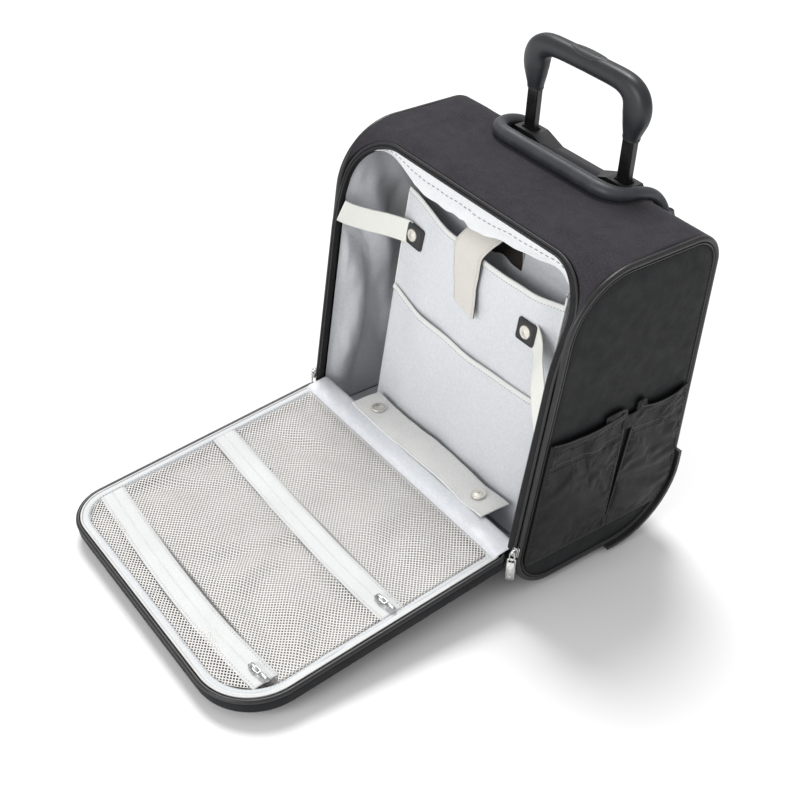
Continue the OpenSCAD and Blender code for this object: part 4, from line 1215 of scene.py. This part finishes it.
def snap_cap(centre, out, r=9.0, height=2.4):
    """Domed metal cap with a rolled rim and a shallow dish, facing out."""
    out = unit(out)
    side = unit(np.cross(out, [0.3, 0.2, 1.0]))
    up = np.cross(out, side)
    profile = [(r, 0), (r, 0.5), (r * 0.985, 0.9), (r * 0.94, 1.25), (r * 0.88, 1.3), (r * 0.82, 1.15), (r * 0.78, 1.1),
               (r * 0.6, 1.5), (r * 0.35, 1.85), (r * 0.03, height - 0.35)]
    a = np.linspace(0, 2 * math.pi, 40, endpoint=False)
    rings = [centre + out * h + q * (np.cos(a)[:, None] * side + np.sin(a)[:, None] * up) for q, h in profile]
    return capped(np.array(rings))


def make_flap():
    x = np.linspace(-110, 120, 80)
    y = np.linspace(0, 1, 22)
    gx, gv = np.meshgrid(x, y, indexing="ij")
    front, back = 7.5 + 0.6 * np.sin(x / 31.0), 46.0 + 1.2 * np.sin(x / 23.0 + 1)
    gy = front[:, None] + (back - front)[:, None] * gv
    lift = 1.2 * np.sin(gx / 27.0 + 0.6) * (0.3 + 0.7 * (1 - gv)) + 3.6 * smooth01((gx - 84) / 36) * (1 - 0.4 * gv)
    q = np.stack([gx, gy, 0 * gx], -1)
    gz = HINGE_Z + 3.2 + lift - 1.2 * gv + rumple(q, 22, 1.1, 1.9)
    caps = [snap_cap(np.array([cx, 27.0, HINGE_Z + dz]), (0, -0.02, 1), 7.8) for cx, dz in ((-84, 4.4), (92, 5.7))]
    snaps = mesh_piece("flap_snap_caps", *join(caps), SNAP, "case", "snap_metal", ["flap_snaps"])
    cloth("base_flap_cloth", np.stack([gx, gy, gz], -1), FLAP, "case", "flap_fabric",
          ["base_flap"],
          thick=1.8)
    edge = [np.column_stack([x, front + 1.5, gz[:, 0] + 1.0]), np.column_stack([x, back - 1.8, gz[:, -1] + 0.95])]
    mesh_piece("base_flap_stitches", *join([stitch_row(e, (0, 0, 1), False, 3.6, 2.3, 0.28) for e in edge]),
               THREAD_WHITE, "case", "flap_fabric")


def webbing(name, points, ups, body, node):
    """Ribbed webbing: 26 mm wide, faintly ridged across, following the points with the given edge directions."""
    path = spline(points, 120)
    up = unit(spline(ups, 120))
    t = tangents(path, False)
    up = unit(up - t * (up * t).sum(1, keepdims=True))
    out = np.cross(t, up)
    w = np.linspace(-13, 13, 15)
    rib = 0.16 * (np.arange(120) % 2)
    bow = 0.5 * (np.abs(w) / 13) ** 2
    p = path[:, None] + up[:, None] * w[None, :, None] + out[:, None] * (rib[:, None] + bow[None])[..., None]
    return cloth(name, p, WEBBING, body, "webbing", [node], thick=1.2, sub=0)


TABS = {"left": (-100.5, 240.0, 30.0, 25.0, -0.06), "right": (87.5, 227.5, 25.5, 24.0, 0.0)}


def snap_tab(side):
    """Black tab with a stitched edge and a metal cap, lying on the organizer's front."""
    cx, cz, w, h, turn = TABS[side]
    outline = resample(rounded([(-w / 2, -h / 2, 3.0), (w / 2, -h / 2, 3.0), (w / 2, h / 2, 3.0), (-w / 2, h / 2, 3.0)],
                               6), 60)
    outline = outline @ np.array([[math.cos(turn), math.sin(turn)], [-math.sin(turn), math.cos(turn)]])
    front = float(front_y(np.array([cx]), np.array([cz]))[0]) - 1.6
    place = lambda k, y: on_org(cx + outline[:, 0] * k, front + y, cz + outline[:, 1] * k)
    layers = [(0.97, 0.0), (1.0, -0.5), (1.0, -1.7), (0.97, -2.2), (0.9, -2.3), (0.6, -2.45), (0.05, -2.5)]
    mesh_piece(f"snap_tab_{side}", *capped(np.array([place(k, y) for k, y in layers])), LEATHER, f"strap_{side}",
               "tab_leather", [f"strap_tab_{side}"])
    mesh_piece(f"snap_tab_stitches_{side}", *stitch_row(place(0.84, -2.4), ORG_OUT, True, 3.0, 2.0, 0.26), THREAD_BLACK,
               f"strap_{side}", "tab_leather")
    mesh_piece(f"snap_cap_{side}", *snap_cap(on_org(cx - (1.5 if side == "left" else 0.0), front - 2.4, cz), ORG_OUT,
                                             7.0), SNAP, f"strap_{side}", "snap_metal")


def make_straps():
    for side in TABS:
        snap_tab(side)
    lift = np.array([0, 0, 1.0])
    tab = on_org(-113.5, -5.2, 240.5)
    webbing("webbing_left", [(-168.0, 31.0, 276.2), (-160, 39, 272), (-146, 52, 268.5), (-131, 65, 266.5), tab,
                             tab + [8, 1.8, -0.5]],
            [lift, lift, lift, lift + [0, 0.1, 0], [0, 0.13, 1], [0, 0.13, 1]], "strap_left", "strap_left")
    tab = on_org(98.0, -6.0, 228.0)
    webbing("webbing_right", [tab - [8, -1.5, 0], tab, (113, 66, 246), (128, 53, 236), (143, 43, 221), (156, 36, 204),
                              (166, 31, 188)],
            [[0, 0.13, 1], [0, 0.13, 1], [0.2, 0.1, 0.97], [0.45, 0.05, 0.88], [0.6, 0.0, 0.75], [0.7, -0.1, 0.65],
             [0.7, -0.2, 0.6]],
            "strap_right", "strap_right")


make_organizer()
make_closure()
make_flap()
make_straps()


# ---- Hardware helpers ----

def shrunk(loop, k):
    """The loop with every point moved k towards its middle."""
    return loop + unit(loop.mean(0) - loop) * k


def plate(outline, place, low, high, soft=0.3):
    """Solid plate with softened edges; place maps (a, b, height) to a case-frame point."""
    rings = [(shrunk(outline, soft), low), (outline, low + soft), (outline, high - soft), (shrunk(outline, soft), high)]
    return capped(np.array([place(l[:, 0], l[:, 1], h) for l, h in rings]))


def ring_plate(outside, hole, place, low, high, soft=0.25):
    """Plate with a hole through it; both loops have the same number of points."""
    rings = [(outside, low + soft), (shrunk(outside, soft), low), (shrunk(hole, -soft), low), (hole, low + soft),
             (hole, high - soft), (shrunk(hole, -soft), high), (shrunk(outside, soft), high), (outside, high - soft)]
    v = np.array([place(l[:, 0], l[:, 1], h) for l, h in rings]).reshape(-1, 3)
    return v, [list(f) for f in grid_faces(8, len(outside), True, True)]


def box_loop(a0, b0, a1, b1, r, n=40):
    return resample(rounded([(a0, b0, r), (a1, b0, r), (a1, b1, r), (a0, b1, r)], 6), n)


def carried(path, first):
    """Normals that follow a path without twisting."""
    t = tangents(path, False)
    first = np.asarray(first, float)
    out = [unit(first - t[0] * (first @ t[0]))]
    for a in t[1:]:
        out.append(unit(out[-1] - a * (out[-1] @ a)))
    return np.array(out)


def bridge(points, place, width):
    """Bent strip over a slider; points are (b, height)."""
    bh = spline(points, 22)
    path = place(np.zeros(22), bh[:, 0], bh[:, 1])
    across = unit(place(1.0, 0.0, 0.0) - place(0.0, 0.0, 0.0))
    normal = np.cross(tangents(path, False), across)
    return sweep(path, flat_section(width, 0.9, 5), normal, closed=False)


# ---- Zip sliders ----

def make_main_sliders():
    for s, side in ((-1, "left"), (1, "right")):
        x0, up0, out0 = s * 177.5, 4.5, 5.6

        def on(a, b, h):
            return on_face(x0 + np.asarray(a, float), up0 + np.asarray(b, float), h)
        shape = rounded([(-3.0, -6.0, 1.2), (3.0, -6.0, 1.2), (3.6, 6.0, 2.4), (-3.6, 6.0, 2.4)], 6)
        parts = [plate(shape, on, -0.4, 1.0), plate(shape * 0.97, on, 1.9, 3.4),
                 plate(box_loop(-1.2, 2.0, 1.2, 5.0, 0.5), on, 0.8, 2.1),
                 bridge([(-3, 3.2), (-2.6, 5.4), (-0.8, 7.0), (1.4, 7.0), (3.2, 5.6), (3.8, 3.2)], on, 2.4)]
        mesh_piece(f"main_slider_{side}_metal", *join(parts), NICKEL, f"main_slider_{side}", "nickel",
                   [f"main_slider_{side}"])
        pivot, turn = on_face(x0, up0, out0), math.radians(44 if s > 0 else -24)

        def hung(a, b, h):
            """Tag frame: a across, b down from the pivot, h out; the tag is turned a little towards the side."""
            a, b, h = np.broadcast_arrays(np.asarray(a, float), np.asarray(b, float), np.asarray(h, float))
            return np.stack([pivot[0] + a * math.cos(turn) + h * math.sin(turn),
                             pivot[1] + a * math.sin(turn) - h * math.cos(turn),
                             pivot[2] - b], -1)
        link_loop = ring(2.5, 5.4, 36)
        link_path = hung(link_loop[:, 0], 4.2 + link_loop[:, 1], 0.0)
        facing = unit(hung(0, 0, 1) - hung(0, 0, 0))
        tag = ring_plate(box_loop(-4.6, 7.0, 4.6, 36.0, 2.0, 60), box_loop(-2.9, 8.4, 2.9, 12.4, 1.2, 60), hung, -0.7,
                         0.7)
        groove = ring_plate(box_loop(-2.6, 16.5, 2.6, 32.5, 2.4, 60), box_loop(-1.9, 17.2, 1.9, 31.8, 1.8, 60), hung,
                            0.5, 0.95, 0.1)
        mesh_piece(f"main_pull_{side}_tag", *join([sweep(link_path, ring(0.75, n=10), facing), tag, groove]), NICKEL,
                   f"main_pull_{side}", "nickel", [f"main_pull_{side}"])


def make_mesh_sliders():
    for k, (x0, s0) in enumerate(MESH_ZIPS):
        far = s0 > 200
        name = "far" if far else "near"
        sway = float(zip_sway(k, x0))

        def on(a, b, h):
            return on_lid(x0 + np.asarray(a, float), s0 + sway * 0.5 + np.asarray(b, float), h)
        shape = rounded([(-6.0, -3.0, 1.3), (5.4, -4.2, 2.2), (5.4, 4.2, 2.2), (-6.0, 3.0, 1.3)], 6)
        parts = [plate(shape, on, -0.2, 0.9), plate(shape * 0.97, on, 1.5, 2.8),
                 plate(box_loop(1.5, -1.1, 4.2, 1.1, 0.4), on, 0.7, 1.7),
                 bridge_across(on)]
        mesh_piece(f"mesh_slider_{name}_metal", *join(parts), NICKEL, f"mesh_slider_{name}", "nickel",
                   [f"mesh_slider_{name}"])

        def hung(a, b, h):
            """Tag frame: a away from the pin, b across the tag, h up."""
            a, b, h = np.broadcast_arrays(np.asarray(a, float), np.asarray(b, float), np.asarray(h, float))
            return on(2.0 + a, b - 0.12 * a, 4.0 + h - 0.085 * a)
        link = ring_plate(box_loop(-1.5, -2.6, 7.6, 2.6, 1.8, 48), box_loop(-0.4, -1.6, 6.3, 1.6, 1.2, 48), hung, -0.6,
                          0.6)
        tag = plate(box_loop(7.0, -2.9, 20.0, 2.9, 2.6, 48), hung, -0.6, 0.6, 0.4)
        mesh_piece(f"mesh_pull_{name}_tag", *join([link, tag]), NICKEL, f"mesh_pull_{name}", "nickel",
                   [f"mesh_pull_{name}"])


def bridge_across(on):
    """Arch over a mesh slider that holds its pull."""
    ah = spline([(-3.0, 2.6), (-2.8, 4.4), (-1.2, 5.7), (2.4, 5.9), (4.5, 4.9), (5.0, 2.6)], 22)
    path = on(ah[:, 0], np.zeros(22), ah[:, 1])
    across = unit(on(0.0, 1.0, 0.0) - on(0.0, 0.0, 0.0))
    return sweep(path, flat_section(2.2, 0.8, 5), np.cross(tangents(path, False), across), closed=False)


# ---- Carry handle ----

def make_carry_handle():
    half = spline([(0, 162, 372.6), (50, 162, 372.6), (66, 162.4, 372.3), (80, 166, 371.6), (89.5, 175, 370.8),
                   (93.5, 189, 369.8),
                   (94, 204, 366), (94.5, 216, 359), (98, 222.5, 350), (103.5, 224.8, 338)], 130)
    path = np.vstack([half[::-1], (half * [-1, 1, 1])[1:]])
    reach = np.abs(np.linspace(-1, 1, len(path)))
    radius = 8.0 - 1.7 * smooth01((reach - 0.42) / 0.35)
    parts = [sweep(path, ring(1.0, 1.0, 28), carried(path, (0, -1, 0)), False, radius)]
    for s in (-1, 1):
        def on(a, b, h):
            a, b, h = np.broadcast_arrays(np.asarray(a, float), np.asarray(b, float), np.asarray(h, float))
            return np.stack([s * 105.0 + a, CASE_D + h, 328.0 + b], -1)
        parts.append(plate(box_loop(-14, -17, 14, 17, 6, 72), on, 0.0, 5.6, 1.4))
        parts.append(plate(box_loop(-9, -2, 9, 14, 5, 60), on, 5.0, 7.4, 1.2))
        collar = np.array([(s * 105.0, 224.6, z) for z in (331, 336, 342, 347)])
        parts.append(sweep(collar, ring(1.0, 1.0, 28), (0, 1, 0), False, [6.2, 8.4, 8.2, 6.6]))
    mesh_piece("bail_handle", *join(parts), BAIL, "case", "grip_plastic", ["carry_handle"])


# ---- Trolley grip ----

GRIP_Y, BUTTON_HALF, BUTTON_W = 198.0, 27.0, 6.4


def make_grip():
    half = spline([(68.3, 413.2, 8.9, 6.6), (68.4, 418, 9.4, 7.2), (69.2, 427, 12.3, 8.4), (70.2, 437, 15.0, 9.3),
                   (69.9, 446, 15.6, 9.6),
                   (67.0, 453.5, 14.8, 9.7), (61.0, 459.5, 13.0, 9.6), (52, 463.2, 11.2, 9.4), (38, 464.8, 10.2, 9.2),
                   (0, 465.2, 10.0, 9.0)], 120)
    full = np.vstack([half, (half * [-1, 1, 1, 1])[::-1][1:]])
    path = np.column_stack([full[:, 0], np.full(len(full), GRIP_Y), full[:, 1]])
    t = tangents(path, False)
    side = np.cross(t, (0, 1, 0))
    sec = ring(1.0, 1.0, 36, 0.82)
    p = path[:, None] + sec[None, :, :1] * (side * full[:, 2:3])[:, None] + sec[None, :,
            1:] * np.array([0, 1, 0]) * full[:, 3][:, None, None]
    mesh_piece("grip_moulding", *capped(p), GRIP, "trolley_grip", "grip_plastic", ["grip"])
    lines = []
    for s in (-1, 1):
        band = ring(9.1, 6.85, 40, 0.82)
        loop = np.column_stack([s * 68.3 + band[:, 0], GRIP_Y + band[:, 1], np.full(40, 415.4)])
        lines.append(sweep(loop, ring(0.3, n=8), (0, 0, 1)))
    slot_loop = ring(BUTTON_HALF + 0.8, BUTTON_W + 0.8, 96)
    z = 474.4 - 0.055 * slot_loop[:, 1] ** 2
    lines.append(sweep(np.column_stack([slot_loop[:, 0], GRIP_Y + slot_loop[:, 1], z]), ring(0.8, n=8), (0, 0, 1)))
    mesh_piece("grip_seams", *join(lines), HARD_BLACK, "trolley_grip", "grip_plastic")


def make_button():
    loop = ring(BUTTON_HALF, BUTTON_W, 96)
    rings = [(1.0, 470.0), (1.0, 473.9), (0.985, 474.6), (0.94, 475.1), (0.84, 475.5), (0.6, 475.8), (0.3, 475.95),
             (0.02, 476.0)]
    v = np.array([np.column_stack([loop[:, 0] * k, GRIP_Y + loop[:, 1] * k, np.full(len(loop), h)]) for k, h in rings])
    ribs = [sweep(np.array([(x, GRIP_Y - w, 475.6), (x, GRIP_Y, 475.95), (x, GRIP_Y + w, 475.6)]), ring(0.5, 0.35, 8),
                  (0, 0, 1), closed=False)
            for x, w in ((-14, 2.6), (-10.5, 3.2), (-7, 3.4), (-3.5, 3.6), (0, 3.6), (3.5, 3.6), (7, 3.4), (10.5, 3.2),
                         (14, 2.6))]
    mesh_piece("button_cap", *join([capped(v, both=False)] + ribs), BUTTON, "release", "grip_plastic", ["grip_button"])


# ---- Side pockets ----

POUCH_LOW, POUCH_HIGH = 46.0, 193.0
POUCH_FULLNESS, POUCH_SEAM = 0.05, 1.6   # the pouch is cut this much larger than it lies, and turned in at its seams
POUCH_OFF, POUCH_ROOM = 1.9, 3.7         # least distance of a pouch from the panel, and how much further it may stand
POUCH_EDGES = resample(side_outline(7.2, 24), 1600)


def body_edges(z):
    """Front and back limits of the side panel at height z."""
    near = POUCH_EDGES[np.abs(POUCH_EDGES[:, 1] - z) < 1.2]
    return near[:, 0].min(), near[:, 0].max()


def make_side_pockets():
    for s, side in ((-1, "left"), (1, "right")):
        stitches, welts = [], []
        for k, part in enumerate(("front", "back")):
            rows, nu, nv = [], 46, 60
            for t in np.linspace(0, 1, nu):
                z = POUCH_LOW + (POUCH_HIGH - POUCH_LOW) * t
                lo, hi = body_edges(z)
                a, b = (lo, 119 + 7 * t) if k == 0 else (120.5 + 20 * t, hi)
                f = np.linspace(0, 1, nv)
                y = a + (b - a) * f
                sag = (4.2 if k == 0 else 5.2) * t ** 3 * np.sin(math.pi * f)
                q = np.stack([np.full(nv, s * HALF), y, z - sag], -1)
                belly = np.sin(math.pi * np.clip(f, 0, 1)) ** 0.6 * smooth01(t * 5)
                wrinkle = rumple(q, 30, 2.6, 11.0 * (k + 1) + s, (1, 0.8, 1.7)) + rumple(q, 12, 0.7, 3.0 * k + s,
                        (1, 1, 1.4))
                crease = 0.55 * np.sin((y * 0.8 + z * 0.75) / 9.0 + 2 * k) * smooth01((1 - t) * 2.5)
                out = 2.2 + belly * (1.1 + 1.6 * t + np.clip(wrinkle, -1.1, 1.6) + crease)
                mouth = 1.0 * smooth01((t - 0.86) / 0.14) * np.sin(math.pi * f)
                q[:, 0] = s * (HALF + np.clip(out + mouth, POUCH_OFF, POUCH_OFF + POUCH_ROOM))
                rows.append(q)
            p = np.array(rows)
            pinned = np.ones((nu, nv), bool)
            pinned[1:-1, 1:-1] = False
            w, l, area = laid_out(p, POUCH_FULLNESS)
            cut = w + 2 * POUCH_SEAM * MM, l + POUCH_SEAM * MM, area + POUCH_SEAM * MM * (w + 2 * l)
            p = settled(p, pinned, POUCH_FULLNESS, 0.5, s > 0)
            stand = np.clip(p[..., 0] * s - HALF - POUCH_OFF, 0, None)
            p[..., 0] = s * (HALF + POUCH_OFF + POUCH_ROOM * np.tanh(stand / POUCH_ROOM))
            foot = p[0] - [s * 1.6, 0, 0.8]
            p = np.vstack([foot[None], p])
            edge = [p[:, :1] - [s * 1.5, 0.4, 0], p, p[:, -1:] + [-s * 1.5, 0.4, 0]]
            p = np.concatenate(edge, 1)
            cloth(f"pouch_{side}_{part}", p, POUCH, "case", "black_fabric",
                  [f"side_pocket_{side}"] if k == 0 else (), thick=1.4, flip=s > 0, cut=cut)
            hem = p[-1, 2:-2]
            welts.append(sweep(hem + [s * 0.3, 0, 0.2], ring(1.1, n=10), (s, 0, 0), closed=False))
            for drop in (3, 10):
                line = p[-1 - drop, 3:-3] + [s * 0.95, 0, 0]
                stitches.append(stitch_row(line, (s, 0, 0), False, 3.8, 2.4, 0.28))
            fold = p[-9, 2:-2] + [s * 0.5, 0, 0]
            welts.append(sweep(fold, ring(0.9, 0.5, 8), (s, 0, 0), closed=False))
            side_line = p[1:-2, 3 if k == 0 else -4] + [s * 0.9, 0, 0]
            stitches.append(stitch_row(side_line, (s, 0, 0), False, 4.2, 2.6, 0.28))
            gap_line = p[1:-2, -4 if k == 0 else 3] + [s * 0.9, 0, 0]
            stitches.append(stitch_row(gap_line, (s, 0, 0), False, 4.2, 2.6, 0.28))
            welts.append(sweep(p[1:-1, -2 if k == 0 else 1] + [s * 0.6, 0, 0], ring(0.9, 0.7, 8), (s, 0, 0),
                               closed=False))
        lo, hi = body_edges(POUCH_LOW)
        y = np.linspace(lo + 1, hi - 1, 60)
        kick = np.column_stack([np.full(60, s * (HALF + 1.6)), y, np.full(60, POUCH_LOW - 1.0)])
        welts.append(sweep(kick, ring(1.2, n=10), (s, 0, 0), closed=False))
        stitches.append(stitch_row(kick - [s * 0.2, 0, 3.4], (s, 0, 0), False, 4.2, 2.6, 0.28))
        mesh_piece(f"pouch_{side}_welts", *join(welts), PIPING, "case", "black_piping")
        mesh_piece(f"pouch_{side}_stitches", *join(stitches), THREAD_BLACK, "case", "black_fabric")
        make_pouch_elastic(s, side)


def make_pouch_elastic(s, side):
    """Band across the gap between the pouches and the gathered elastic above each hem."""
    t = np.linspace(0, 1, 9)
    for name, y0, y1, z0, z1, folds in (("gap", 122.0, 144.0, 173.0, 190.0, 0.5),
                                        ("front", 98.0, 126.5, 188.5, 198.5, 1.3),
                                        ("back", 139.5, 152.0, 189.0, 200.5, 1.5)):
        rows = []
        for f in np.linspace(0, 1, 30):
            y = y0 + (y1 - y0) * f
            crumple = folds * 0.5 * (np.sin(f * 19 + t * 5 + s) + np.sin(f * 8 - t * 3))
            arch = math.sin(math.pi * f)
            z = z0 + (z1 - z0) * t + (1.8 * arch - 1.0 if name != "gap" else -1.2 * arch)
            x = HALF + 2.6 + (0.6 + 0.9 * arch) * (1 - 0.4 * t) + crumple * 0.45
            rows.append(np.column_stack([s * np.clip(x, HALF + 1.2, HALF + 5.8), np.full(9, y), z + 0.5 * crumple * t]))
        cloth(f"pouch_{side}_elastic_{name}", np.array(rows), POUCH, "case", "black_fabric",
              thick=1.1, flip=s < 0)


# ---- Finish of the parts left as they were built ----

# The rear board takes the painted-shade lining colour.
FINISH = {
    "back_board": PAINTED_SHADE_LINING, "outer_tubes": ALLOY, "tube_foot_bracket": HARD_BLACK, "trolley_bezel": HARD_BLACK,
    "wheel_housing_left": HOUSING, "wheel_housing_right": HOUSING, "wheel_axles": STEEL, "release_rods": STEEL,
    "button_spring": STEEL, "fasteners": SCREW, "front_feet": RUBBER, "middle_tubes": TUBE_BLACK,
          "inner_tubes": TUBE_BLACK,
    "wheel_tyre_left": TYRE, "wheel_tyre_right": TYRE, "wheel_hub_left": HUB, "wheel_hub_right": HUB,
}


def finish_parts():
    for ob in list(bpy.data.objects):
        if ob.name in FINISH:
            for slot in ob.material_slots:
                slot.material = FINISH[ob.name]


make_main_sliders()
make_mesh_sliders()
make_carry_handle()
make_grip()
make_button()
make_side_pockets()
finish_parts()
